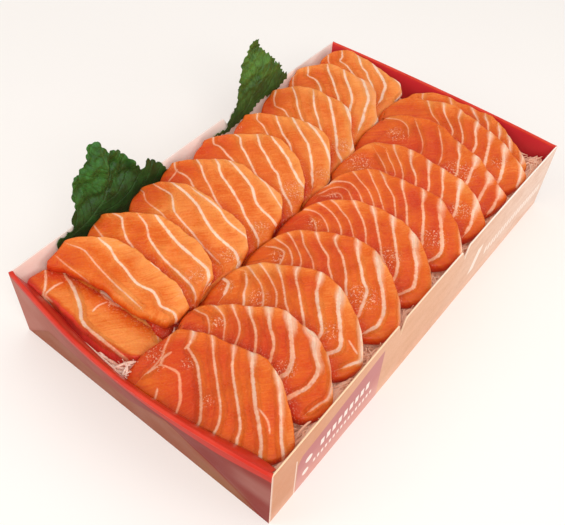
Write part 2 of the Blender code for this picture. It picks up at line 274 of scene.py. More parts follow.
# ============================================================ fat-line maps
# Fat lines of each slice, read in plan at a height of 39 mm: "width: x,y ..."
# in order across the slice. Lines in MARKS are short extra ones.
LINES = {
    "slice_a01": (
        "0.5: -20,-93 -14,-95 -8,-97 -4,-98 -1,-100",
        "1.1: -57,-101 -53,-102.6 -49,-103.5 -45,-105 -40,-107.5 -35,-110.5"
        " -31,-113.5 -25,-114.6 -15,-114.8 -3,-115",
        "0.8: -64,-105 -61,-107 -58,-109.5 -55,-112.5 -53,-115 -47,-116.6"
        " -43,-117.5"),
    "slice_a02": (
        "0.9: -62,-77.5 -58,-78.5 -52,-79 -48,-80.5 -44,-82 -38,-83 -33,-84.5"
        " -28,-85.5 -24,-85 -20,-84.3 -16,-85.5 -12,-87.5 -8,-87 -5,-86.8"
        " -2,-88.5 -.8,-91",
        "0.5: -66,-89 -63,-88 -59,-87.3 -55,-88 -51,-89 -46,-90 -40,-91"
        " -33,-92 -27,-92.5 -18,-93.5",
        "0.35: -65,-97.5 -58,-98 -50,-98 -44,-98.2"),
    "slice_a03": (
        "1.1: -53,-50.5 -49.5,-52 -45,-53.5 -40,-55 -35,-56.5 -28,-58 -20,-59"
        " -12,-60 -9,-61.5 -6.5,-64 -5,-67",
        "0.8: -57,-56.5 -53,-57.5 -50,-58.5 -47,-60.5 -43,-63.5 -38,-65.5"
        " -32,-67.5 -25,-69 -18,-70 -10,-71.5 -5,-74 -3,-76",
        "0.7: -66,-63.5 -64,-63 -61,-63 -58,-65.5 -55,-67.5 -50,-70.5"
        " -45,-72 -41,-73.5 -34,-75",
        "0.5: -68,-74 -63,-75.5 -57,-77 -50,-78"),
    "slice_a04": (
        "0.8: -50,-27.5 -46,-28 -40,-28.3 -34,-29 -30,-30 -25,-32.3"
        " -20,-33.5 -13,-34.2 -9,-35 -6,-37 -3.5,-38.5 -2,-41",
        "1.1: -62,-31 -58,-31 -50,-31.8 -45,-33 -40,-34.5 -35,-37 -30,-39.5"
        " -25,-41.5 -20,-43 -13,-44 -8,-45 -4,-47.5 -2,-49 -1,-52",
        "0.7: -67.5,-37.5 -62,-37.3 -57,-37 -54,-37.5 -51,-40 -47,-43.5"
        " -43,-45.3 -37,-47 -30,-48.8 -25,-50.5 -20,-52 -17,-52.5 -10,-54",
        "0.45: -69,-44.5 -66,-44.5 -63,-46.5 -60,-48 -55,-48.5 -50,-48.8"
        " -44,-50.5"),
    "slice_a05": (
        "0.6: -33,0 -29,-1 -25,-2 -20,-4.5 -15,-7 -10,-9.5 -6,-10.8"
        " -4,-11.2 -2,-13",
        "1.0: -53,0 -49,-1 -44,-2.5 -38,-4.5 -33,-6.5 -28,-9 -24,-12.5"
        " -20,-15.3 -15,-17 -9,-18.3 -4,-20.5 -2,-22 -1,-25",
        "0.9: -58,-3.5 -55,-5 -52,-6.5 -49,-9.3 -45,-11.8 -40,-13.8 -35,-16"
        " -30,-18.5 -25,-21 -20,-24.5 -15,-27 -10,-29.5 -5,-32.5 -3,-35",
        "0.7: -65,-10 -62.5,-11 -58,-13 -54,-16 -50,-18.5 -45,-21 -40,-24"
        " -35,-26.8 -32,-28 -26,-31",
        "0.7: -70.5,-18.5 -67,-22 -64,-23.5 -60,-23 -56,-23.5 -52,-25.5"
        " -47,-28.5 -42,-31"),
    "slice_a06": (
        "1.1: -46,27.5 -43,26 -38,24 -33,21.5 -28,19 -24,16 -19,13 -15,10.5"
        " -10,8.5 -6,7.3 -3.5,6 -1.8,4.5 -1,2",
        "0.9: -54,25 -51,22.5 -48,20 -45,17.5 -40,15 -35,12 -30,9 -26,7.5"
        " -23,5 -20,2.5 -17,0 -14,-2 -10,-4 -7,-6 -5,-8",
        "0.8: -64,17 -61,16.5 -58,16.2 -55,13.5 -52,11 -48,9 -44,6.5 -40,4"
        " -36,1.5 -30,-2",
        "0.7: -70,10 -69,8.5 -66,5 -64,3.5 -61,4 -57,3 -53,1.5 -49,.5"
        " -44,-2"),
    "slice_a07": (
        "1.1: -40,50 -37,48.5 -33,47 -29,45 -24,42 -20,39.5 -16,36 -12,32.5"
        " -8,28 -5,24.5 -3.5,21.5 -2.5,18",
        "1.0: -49,48 -46,46 -42,43.5 -38,41 -33,38 -28,35 -24,31 -20,27"
        " -16,22.5 -13,18.5 -10,15 -8,12",
        "0.8: -58,45 -54.5,42 -51,39 -47,36 -43,33 -38,30.5 -34,28 -31,25"
        " -26,20",
        "0.6: -66,40 -64,38 -62,35 -60,33 -55,31.5 -51,29 -47,26.5 -42,23"),
    "slice_a08": (
        "1.3: -36,77.5 -33,75 -29,71.5 -25,68 -21,64.5 -18,61 -15,57 -12,53"
        " -10,50 -8.5,46",
        "1.1: -46,75.5 -43,73.5 -40,71 -37,67.5 -33,63.5 -29,59 -25,54.5"
        " -21,50 -17,45 -13,40 -8,36.5 -5,33",
        "0.8: -53,73 -51,70.5 -48,66.5 -45,63 -41,59 -37,55.5 -33,51.5"
        " -29,48 -25,43",
        "0.7: -66,70 -64,68 -60,65 -56,61.5 -52,57 -48,53.5 -44,50 -41,48"
        " -36,43",
        "0.6: -70,61 -68,58 -65,53 -62,50 -60,48.5 -55,49 -51,47 -49,46"
        " -44,42"),
    "slice_a09": (
        "1.2: -32,99.5 -29,98 -25,96 -21,93 -18,89 -16,85 -14,81 -12,76"
        " -11,73 -10,69",
        "1.3: -41,101.5 -38,99.5 -34,96 -30,92 -26,87.5 -24,83 -22,78 -20,74"
        " -18,70 -17,67 -15,62",
        "1.1: -52,100.5 -50,98.5 -47,95 -43,91.5 -39,88 -35,84 -32,80 -30,76"
        " -28.5,73 -26,68",
        "0.9: -62,98.5 -60,96 -57,93 -53,90 -49,86.5 -45,82.5 -41,79 -38,76"
        " -33,71",
        "0.8: -71,92 -69,89 -66,85 -64,82.5 -60,82.5 -56,81 -52,78 -49,75"
        " -46,72.5 -42,68",
        "0.5: -74,85 -73.5,83 -70,77 -66,71 -63,68 -60,65"),
    "slice_a10": (
        "1.2: -27,114 -23,112.5 -19,110 -16,107.5 -14.5,104 -14,100 -13.5,96",
        "1.2: -43,117 -40,115 -35,111.5 -30,108 -26,104 -24,100 -22.5,96"
        " -21,93 -20,89",
        "0.9: -55,118.5 -52,116 -49,113 -45,109.5 -41,107.5 -37,103.5"
        " -33,100.5 -31,98.5 -27,94",
        "0.8: -64,115.5 -62,113 -60,110 -59,106.5 -54,105.5 -50,103.5"
        " -46,101 -43,99.5 -38,96",
        "0.6: -69,108 -67,106 -64,102 -61,99 -57,95"),
    "slice_b01": (
        "0.5: -1,-90 0,-93 2,-97 4,-101.5 6,-105 7,-110 7,-115",
        "0.8: 5,-85 7,-88 8.5,-90 10,-93 11,-95.5 13,-96.2 17,-97.8 20,-99.5"
        " 24,-103 28,-106.5 32,-110.5 35,-114 37,-117 37.5,-121",
        "0.7: 13,-84 16,-86.5 19,-89.5 22,-92.5 26,-96 30,-99.5 34,-103"
        " 38,-106.5 41,-110 43,-113.5 44,-117 43.5,-119.5 43,-123",
        "0.8: 22,-80 24,-82.5 27,-86.5 30,-90.5 34,-94.5 38,-98 42,-101.5"
        " 46,-105 50,-109 52,-113 54,-116.5 55,-121",
        "1.1: 29,-77 31,-79.5 34,-83 38,-88 42,-92 46,-96 49,-99 52,-101.5"
        " 56,-105 60,-109 62.5,-112.5 64,-114.5 66,-119",
        "0.9: 43,-79.5 46,-82.5 50,-86 54,-90.5 58,-95 62,-100 65,-103.5"
        " 69,-107.5 72,-112"),
    "slice_b02": (
        "0.45: -1,-80 3,-79.5 6,-79 9,-81 12,-84 14,-88",
        "0.5: -1,-74 3,-73 8,-73.5 12,-75 15,-78 18,-82 19.5,-84 21,-88",
        "0.6: 8,-66 11,-68.5 15,-71 19,-73.5 22,-77 24,-81.5 25.5,-86",
        "0.9: 13,-61.5 16,-64 20,-67.5 24,-70 28,-73.5 31,-77.5 33,-80.5"
        " 34.5,-85",
        "1.1: 20,-57 23,-59.5 26,-63 30,-67 34,-70 37,-73.5 38.5,-76.5"
        " 40,-79.5 41,-84",
        "1.6: 29,-54 31,-56 35,-60 39,-64.5 43,-69 46,-72.5 48,-77 48.5,-80"
        " 47.5,-83 46.5,-87",
        "1.5: 40,-55.5 42,-57.5 46,-59 49,-62.5 53,-66.5 57,-70 58.5,-75"
        " 58.5,-80 57,-84 56,-87 55,-92",
        "0.6: 55,-61.5 58,-64 61,-66.5 64,-70 66.5,-75 67.5,-79 66.5,-82"
        " 65.5,-87"),
    "slice_b03": (
        "1.1: -5,-60 -3,-60 1,-60 3,-63 4,-66",
        "0.7: 4,-51.5 6,-53.5 8,-56 10,-60 13,-63.5 14,-65 15,-69",
        "0.5: 0,-47.5 3,-48 8,-50 12,-51.5 16,-54.5 19,-58 20.5,-60.5"
        " 21.5,-64",
        "0.5: 2,-42.5 6,-43.5 10,-45 15,-47.5 20,-50.5 23,-54 25,-57"
        " 26.5,-61",
        "0.6: 9,-37 12,-39.5 16,-42.5 20,-46 24,-50 27,-53 31,-56 34,-59.5",
        "0.85: 16,-30.5 18,-33 20,-37 23,-40.5 27,-44 31,-48 35,-52 39,-56"
        " 42,-60",
        "1.2: 27.5,-28.5 29,-31 31,-35 33,-39 36,-43 40,-47 44,-51 47,-54.5"
        " 48,-58 48,-62",
        "1.5: 39.5,-31 41,-33.5 43,-37 46,-41.5 50,-46 54,-51 57,-55"
        " 57.5,-58 56,-61 54,-65",
        "0.9: 54.5,-38 57,-41 60,-45 63,-49 66,-53 67.5,-56 66,-59 64,-63"),
    "slice_b04": (
        "0.5: 1,-33 4,-31 8,-30.5 10,-33 11,-36 12,-40",
        "0.5: 0,-27 3,-27 8,-27.5 12,-30 15,-33 17,-37",
        "0.5: 1,-20 4,-21 8,-23 12,-25.5 16,-28.5 18.5,-31.5 20,-35",
        "0.5: 6,-15.5 8,-17 12,-21 17,-24 21,-26.5 24,-29.5 26,-33",
        "0.7: 10.5,-10.5 13,-12.5 16,-15 20,-17.5 25,-20 28,-24 32,-27.5"
        " 36,-31.5 38,-35",
        "0.8: 20,-4.5 20.5,-7 21.5,-10 25,-13 30,-16 34,-20 38,-24.5 41,-29"
        " 44,-33 45,-37",
        "1.1: 28,-1.5 30,-4 33,-8.5 37,-13 41,-17 45,-21.5 49,-24.5 51,-29"
        " 53,-35 54,-37.5 54,-42",
        "1.4: 40,-4 42,-6.5 46,-11 50,-16 54,-20 58,-25 61,-29.5 62.5,-34"
        " 63,-38 62.5,-39.5 61,-44",
        "0.7: 58,-11.5 60,-14 63,-19 66,-24 69.5,-29 71,-33"),
    "slice_b05": (
        "0.4: 6,-6 8,-7 11,-10 12,-12 13,-15",
        "0.5: -2,-5 0,-3 4,-1.5 8,-2 12,-4 15,-6.5 17,-9 19,-13",
        "0.6: -1,4.5 2,4.5 7,4 11,3 15,1 19,-2 21.5,-5 23,-9",
        "0.5: 2,11 5,10 9,9 13,7 18,5 22,2 25,-1 27,-3 29,-7",
        "0.7: 11,18 14,16 18,13 23,9.5 27,6 30,2.5 33,-2 35,-4 37,-8",
        "0.9: 20.5,21 23,18.5 27,14.5 31,10 35,5.5 39,1 43,-4 46,-7 48,-11",
        "1.0: 31,23 33,20.5 36,16 39,12 43,7 47,2 51,-3 53,-7 54.5,-11"
        " 55,-16",
        "1.4: 45,19 47,16.5 50,12 53,7.5 57,3 60,-2 62.5,-7 63.5,-11 62,-15"
        " 60,-20",
        "0.8: 61,9.5 63,7 66,3 69.5,-2 71,-6"),
    "slice_b06": (
        "0.4: 0,9 2,11 3,14 5,16 8,15 9,13",
        "0.5: -2,9 -1,12 0,16 3,20 7,20.5 10,18.5 13,16 15,12",
        "0.6: -3.5,12 -3,15 -2,20 1,23.5 5,25.5 9,24.5 13,22 16,19.5"
        " 18,17.5 20,13",
        "0.5: 0,34 4,32 9,29.5 13,28 17,25.5 21,22 23,19.5 25,15",
        "0.5: 6,39.5 9,37.5 13,34 17,31 21,27.5 25,23.5 28,20.5 30,16",
        "0.6: 12,42 15,40 19,36.5 23,34 27,31 30,27 33,23 35,20 36.5,16",
        "0.8: 22,46.5 23.5,44 26,40 30,35.5 34,31 37,26.5 40,22 43,17.5"
        " 45,13",
        "1.0: 34,46 36,43.5 38,40 40,36 43,32 46,27 49,21.5 51,17.5 53,14.5"
        " 54,10",
        "1.4: 45,44.5 46.5,42 49,37 52,32.5 55,28 58,23.5 61,18.5 62.5,14"
        " 62,10.5 60.5,6",
        "0.7: 59,39 61,36 64,31 67,26 69,22.5 71,19"),
    "slice_b07": (
        "0.35: 4,52 7,50 11,47 14,44 16,42 17,39",
        "0.35: 7,56 10,53 14,50 18,46 19.5,42",
        "0.5: 4,66 6,63.5 9,60 13,56.5 17,53 20,49.5 22,47 24,43",
        "0.8: 13,68 15,65.5 18,60.5 21,56.5 25,53 28,49.5 30,46 31.5,42",
        "0.9: 24,68 26,65.5 29,60 32,55 35,50.5 37,46 38,42.5 38.5,38",
        "0.8: 33,67 35,64 38,58 41,53.5 44,47.5 46,42 46.5,37",
        "1.2: 44.5,65 46,62 48,57 50,52.5 52,48.5 54,43.5 55,40 55.5,35",
        "1.3: 55.5,63 57,60 60,53 61,48 63,43 64.5,38 65,33"),
    "slice_b08": (
        "0.35: -12,77 -9,80 -4,83 0,83 4,80.5 7,76",
        "0.4: 5,87 8,84 12,80 16,75.5 19,70 20.5,65",
        "0.5: 17,90.5 19,88 22,84 25,80 28,75 30,70 31,66 31.5,61",
        "0.8: 29.5,89.5 31,87 33,83 36,79 38,74 41,68 42,64 42.5,59",
        "1.2: 42,87 43,84 45,78 46,73 48,67 49,62 49.5,57",
        "1.3: 53,80 54,77.5 56,73 57,68 58,62 59,57 59,52",
        "1.2: 62,75 63,72 65,66 66,61 67,56 67,51"),
    "slice_b09": (
        "0.45: -3,110 0,107.5 4,103 8,99 13,96 15,94 17,90",
        "0.7: 6,113.5 8,111 11,106 15,102 19,98.5 23,94.5 25,90",
        "0.7: 17,115 18,112 20,106 24,101 28,96 31,91 32,88.5 33,84",
        "1.0: 29,112 30,109 32,103 35,98 38,92.5 39.5,86.5 40,82",
        "1.2: 38.5,108 39.5,105.5 42,100 44,95 46,89.5 48,84 49.5,80"
        " 50,75",
        "1.3: 49,105 50,102.5 52,97 55,91 57,86 59,80 60,76 60.5,71",
        "0.9: 59.5,100 61,97 64,93 66,88 68,82 69,77"),
    "slice_b10": (
        "0.4: -10,119 -9,117 -6,112 -4,108 -2,106 0,102",
        "0.5: 6,121 8,118 11,114 13,110",
        "0.7: 20,120.5 22,118 25,115 28,112.5 30,110 31,106",
        "0.7: 29.5,118.5 31,116 34,113 36,109.5 38,106 39,102",
        "0.8: 39.5,115 41,112.5 43,109.5 45,104.5 46,100",
        "0.8: 46.5,113 48,110.5 50,107 52,103.5 54,100 55,96",
        "0.9: 54.5,111 56,108.5 58,106 60,102 62,98 63,94"),
}
MARKS = {
    "slice_a01": ("0.7: -52,-105 -53,-108 -53,-112 -52,-114.5 -47,-115",
                  "1.9: -38,-97 -33,-98.5 -28,-99 -23,-98",
                  "0.5: -30,-100 -31.5,-104 -31,-108"),
    "slice_a02": ("0.6: -32,-73.5 -26,-73.5 -20,-74",
                  "0.9: -12,-75 -9,-76.5 -5,-77 -1,-78"),
    "slice_a05": ("0.5: -65,-22 -63.5,-26 -62,-32",),
    "slice_b01": ("0.9: 7.5,-101 7,-105 8,-107.5 9,-108.5",
                  "0.9: 9,-107.8 12,-107 16,-106.5 19,-108.5 22,-111.5"
                  " 25,-114.5 27,-118 28.5,-121",
                  "0.5: 8,-109 7.5,-112 7,-115",
                  "0.6: 15,-116.5 17,-119.5 18,-122",
                  "0.5: 10,-93 10.5,-97",
                  "0.5: 50,-98.5 54,-99.5 57,-101 60,-104"),
    "slice_b03": ("0.5: 58,-51 62,-53 65,-54.5",),
}
# patches of fine wet speckle, which also carry painted glints in the colour: x,
# y, radius in the same plan
SPECKLE = {
    "slice_a03": ((-12, -66, 5),), "slice_a04": ((-9, -48, 5),),
    "slice_a05": ((-9, -26, 5),),
    "slice_a06": ((-12, 3, 8),), "slice_a07": ((-64, 21, 3), (-9, 22, 5)),
    "slice_a08": ((-14, 46, 6),),
    "slice_b01": ((3, -106, 5), (16, -101, 3), (33, -108, 3)),
    "slice_b02": ((47, -78, 5), (12, -78, 4)),
    "slice_b03": ((16, -58, 5), (2, -62, 4), (50, -52, 5)),
    "slice_b04": ((8, -35, 4), (50, -29, 8)),
    "slice_b05": ((46, -3, 7), (8, -8, 4)),
    "slice_b06": ((55, 21, 7), (4, 13, 3)),
    "slice_b07": ((0, 40, 8), (56, 45, 6)),
    "slice_b08": ((42, 69, 9), (2, 72, 6)),
    "slice_b09": ((54, 88, 5),),
}


def parse(text):
    w, pts = text.split(":")
    pts = np.array([[float(v) for v in p.split(",")] for p in pts.split()])
    return float(w), pts


def curve(pts, step=0.6):
    """Smooth open curve through the points (centripetal-like Catmull-Rom)."""
    p = np.vstack([2 * pts[0] - pts[1], pts, 2 * pts[-1] - pts[-2]])
    out = []
    for i in range(1, len(p) - 2):
        a, b, c, d = p[i - 1], p[i], p[i + 1], p[i + 2]
        n = max(2, int(np.linalg.norm(c - b) / step))
        t = np.linspace(0, 1, n, endpoint=False)[:, None]
        out.append(0.5 * ((2 * b) + (c - a) * t +
                          (2 * a - 5 * b + 4 * c - d) * t ** 2 +
                          (3 * b - a - 3 * c + d) * t ** 3))
    out.append(p[-2][None])
    return np.vstack(out)


def to_curve(pts, line):
    """Distance, side and foot for each point against a polyline."""
    a, b = line[:-1], line[1:]
    ab = b - a
    ll = np.maximum((ab ** 2).sum(1), 1e-9)
    best = np.full(len(pts), 1e9)
    side = np.zeros(len(pts))
    foot = np.zeros((len(pts), 2))
    along = np.zeros(len(pts))
    for lo in range(0, len(pts), 4000):
        q = pts[lo:lo + 4000]
        ap = q[:, None] - a[None]
        t = np.clip((ap * ab).sum(2) / ll, 0, 1)
        f = a + t[..., None] * ab
        d2 = ((q[:, None] - f) ** 2).sum(2)
        k = d2.argmin(1)
        r = np.arange(len(q))
        best[lo:lo + 4000] = np.sqrt(d2[r, k])
        foot[lo:lo + 4000] = f[r, k]
        cr = ab[k, 0] * ap[r, k, 1] - ab[k, 1] * ap[r, k, 0]
        side[lo:lo + 4000] = np.sign(cr)
        along[lo:lo + 4000] = (k + t[r, k]) / len(a)
    return best, side, foot, along


def fat_field(pts, name):
    """phi (whole numbers on the lines), the spacing there, the width of the
    nearest line and a coordinate along the lines."""
    specs = [parse(s) for s in LINES[name]]
    curves = [curve(p) for _, p in specs]
    n = len(curves)
    D, S, F, A = [], [], [], []
    for c in curves:
        d, s, f, a = to_curve(pts, c)
        D.append(d), S.append(s), F.append(f), A.append(a)
    D, S, F, A = map(np.array, (D, S, F, A))
    nxt = []
    for k in range(n - 1):
        m = curves[k + 1][len(curves[k + 1]) // 2][None]
        nxt.append(to_curve(m, curves[k])[1][0])
    nxt.append(nxt[-1] if nxt else 1.0)
    nxt = np.array(nxt)
    r = np.arange(len(pts))
    k1 = D.argmin(0)
    up = S[k1, r] == nxt[k1]
    k2 = np.where(up, k1 + 1, k1 - 1)
    ok = (k2 >= 0) & (k2 < n)
    k2c = np.clip(k2, 0, n - 1)
    a = D[k1, r]
    b = np.where(ok, D[k2c, r], np.maximum(9.0 - a, a + 0.01))
    tot = np.maximum(a + b, 0.6)
    # close to a line both of its sides share one spacing
    dn = np.where(k1 > 0, D[np.clip(k1 - 1, 0, n - 1), r], 9.0)
    dp = np.where(k1 < n - 1, D[np.clip(k1 + 1, 0, n - 1), r], 9.0)
    near = np.clip(np.minimum(dn, dp), 1.6, 8.0)
    t = smooth(0.9, 2.4, a)
    tot = near * (1 - t) + tot * t
    phi = k1 + np.where(up, 1, -1) * np.minimum(a / tot, 0.5)
    width = np.array([w for w, _ in specs])[k1]
    t = A[k1, r]
    width = width * (0.55 + 0.45 * smooth(0.0, 0.12, t)) * \
        (0.6 + 0.4 * smooth(1.0, 0.9, t))
    e = np.array([0.76, -0.65])
    f1 = F[k1, r] @ e
    f2 = np.where(ok, F[k2c, r] @ e, pts @ e)
    along = (b * f1 + a * f2) / tot
    return phi, tot, width, along


def marks_field(pts, name):
    """Signed distance to the nearest extra mark and the mark's width there,
    the width falling to nothing away from it."""
    best = np.full(len(pts), 50.0)
    dist = np.full(len(pts), 50.0)
    wide = np.zeros(len(pts))
    for text in MARKS.get(name, ()):
        w, p = parse(text)
        d, s, _, t = to_curve(pts, curve(p))
        inside = (t > 0.0005) & (t < 0.9995)
        ends = smooth(0, 0.2, t) * smooth(1.0, 0.8, t)
        new = d < best
        best = np.where(new, d, best)
        dist = np.where(new, d * np.where(s == 0, 1, s), dist)
        wide = np.where(new, w * (0.35 + 0.65 * ends) * inside *
                        smooth(3.2, 2.0, d), wide)
    return dist, wide


def speckle_field(pts, name):
    out = np.zeros(len(pts))
    for x, y, r in SPECKLE.get(name, ()):
        d = np.hypot(pts[:, 0] - x, pts[:, 1] - y)
        out = np.maximum(out, 1 - smooth(0.45 * r, 1.15 * r, d))
    return out


def plan39(p):
    """Where a point is seen in plan at the height of 39 mm."""
    f = (CAM[2] - 39.0) / (CAM[2] - p[:, 2])
    return np.stack([CAM[0] + (p[:, 0] - CAM[0]) * f,
                     CAM[1] + (p[:, 1] - CAM[1]) * f], 1)


# =================================================================== slices
def far_edge(row, x):
    cy, cx, left, dl, pl, right, dr, pr = row[:8]
    s = np.clip((cx - x) / (cx - left), 0, 1)
    t = np.clip((x - cx) / (right - cx), 0, 1)
    return cy - np.where(x < cx, dl * s ** pl, dr * t ** pr)


def slice_width(row, x, powers):
    left, right, width = row[2], row[5], row[9]
    t = np.clip(2 * (x - left) / (right - left) - 1, -1, 1)
    p = np.where(t < 0, powers[0], powers[1])
    return width * np.maximum(0.0, 1 - np.abs(t) ** p) ** (1 / p)


def plane_top(row, profile, x, y, tilt):
    return row[8] + station(profile, x) + tilt * (y - row[0])


def common_wave(x, y, right_row):
    """Relief that a whole row shares, so that its slices stay nested."""
    return 0.28 * waves(x, y, 5 if right_row else 9, 34.0, 5)


SLICES = [("slice_a01", FRONT, ROW_LEFT, (FRONT_POWER, FRONT_POWER),
           FRONT_TILT, FRONT_THICK, None, False)]
for _i, _row in enumerate(LEFT_ROW):
    SLICES.append(("slice_a%02d" % (_i + 2), _row, ROW_LEFT,
                   (OUTER_POWER, INNER_POWER), TILT, THICK,
                   LEFT_ROW[_i - 1] if _i else None, False))
for _i, _row in enumerate(RIGHT_ROW):
    SLICES.append(("slice_b%02d" % (_i + 1), _row, ROW_RIGHT,
                   (INNER_POWER, OUTER_POWER), TILT, THICK,
                   RIGHT_ROW[_i - 1] if _i else None, True))

N_STATION, N_HID, N_VIS = 92, 8, 34
NOSE_Y = np.array([-128.0] + [float(far_edge(r, np.array([r[2] + 0.5]))[0])
                              for r in RIGHT_ROW] + [122.0])


def seam_mid(y):
    return np.interp(y, (-95, -20, 30, 70, 100), (-2, -4.5, -6.5, -11, -15))


def seam_shift(x, y):
    """Sideways wander of the line where the two rows meet: out at each
    rounded end of the right row, back in the notches between them."""
    j = np.clip(np.searchsorted(NOSE_Y, y) - 1, 0, len(NOSE_Y) - 2)
    u = np.clip((y - NOSE_Y[j]) / (NOSE_Y[j + 1] - NOSE_Y[j]), 0, 1)
    dx = 1.7 - 3.7 * np.sin(np.pi * u) ** 0.75
    dx = dx * smooth(-104, -92, y) * smooth(116, 104, y)
    return dx * np.exp(-((x - seam_mid(y)) / 13.0) ** 2)


def plain_width(spec, x):
    return np.maximum(slice_width(spec[1], x, spec[3]), 0.0)


def near_limit(x, z=28.0):
    """Inner face of the near wall in plan at a height."""
    return -TRAY_L / 2 + SHORT_T - NEAR_BOW * (z / TRAY_H) ** 1.3 * \
        np.cos(np.pi * x / TRAY_W)


def filled_width(spec, others, x):
    """Width with the near corner of the inner end filled out under the
    slice in front, as far as the other row leaves room for it."""
    name, row, _, _, _, _, _, right_row = spec
    w = plain_width(spec, x)
    if name == "slice_a01":
        return w
    left, right = row[2], row[5]
    mid = 0.5 * (left + right)
    full = plain_width(spec, np.array([mid]))[0]
    if right_row:
        want = np.where(x < mid, full, w)
        want = np.where(x - left < 5, full * (0.80 + 0.20 * np.sqrt(
            np.clip((x - left) / 5, 0, 1))), want)
    else:
        want = np.where(x > mid, full, w)
        want = np.where(right - x < 5, full * (0.80 + 0.20 * np.sqrt(
            np.clip((right - x) / 5, 0, 1))), want)
    yf = far_edge(row, x)
    if name == "slice_a02":
        edge = np.interp(x, (-68.0, -65.0, -62.4, -59.4, -52.3, -40.0),
                         (-99.5, -103.0, -101.7, -98.9, -97.4, -95.6))
        want = np.where(x < -38, np.maximum(want, yf - edge), want)
        want = np.where(x > mid, want - np.interp(
            x, (-32.0, -19.0, -10.5, -2.8), (0.0, 2.3, 6.5, 10.8)), want)
    if name == "slice_b01":
        want = np.minimum(want, np.maximum(w, yf - near_limit(x, 31.0) - 1.6))
    out = want.copy()
    for o, width in others:
        orow = o[1]
        if abs((orow[0] - row[0]) * TILT + (3.0 if right_row else -3.0) *
               0.4) > 6.6:
            continue
        for dx in (-0.5, 0.0, 0.5):
            xx = x + dx
            hit = (xx > orow[2]) & (xx < orow[5])
            of = far_edge(orow, xx)
            on = of - width(xx)
            lap = hit & (on - 0.5 < yf) & (of + 0.5 > yf - out)
            room = yf - of - 0.5
            out = np.where(lap & (room > w), room, out)
            out = np.where(lap & (room <= w), w, out)
    return np.maximum(out, w)


def table(row, values):
    xs = np.linspace(row[2], row[5], len(values))
    return lambda x: np.interp(x, xs, values)


def spec_widths():
    """Final widths: the left row first, then the right row against it."""
    grid = {s[0]: np.linspace(s[1][2], s[1][5], 801) for s in SLICES}
    rights = [(s, table(s[1], plain_width(s, grid[s[0]])))
              for s in SLICES if s[7]]
    lefts = []
    out = {}
    for s in SLICES:
        if not s[7]:
            f = table(s[1], filled_width(s, rights, grid[s[0]]))
            lefts.append((s, f))
            out[s[0]] = f
    for s in SLICES:
        if s[7]:
            out[s[0]] = table(s[1], filled_width(s, lefts, grid[s[0]]))
    return out


WIDTHS = spec_widths()


# slices that are plainly paler or darker than their neighbours
# slice_a01's lift is painted light on the lowest slice, which lies in shade
PALE = {"slice_a01": 0.25, "slice_a02": 0.1, "slice_a08": 0.3, "slice_a09": 0.8,
        "slice_a10": 0.6, "slice_b01": -0.1, "slice_b02": -0.3,
        "slice_b03": 0.3, "slice_b06": -0.3, "slice_b08": -0.4,
        "slice_b10": 0.3}


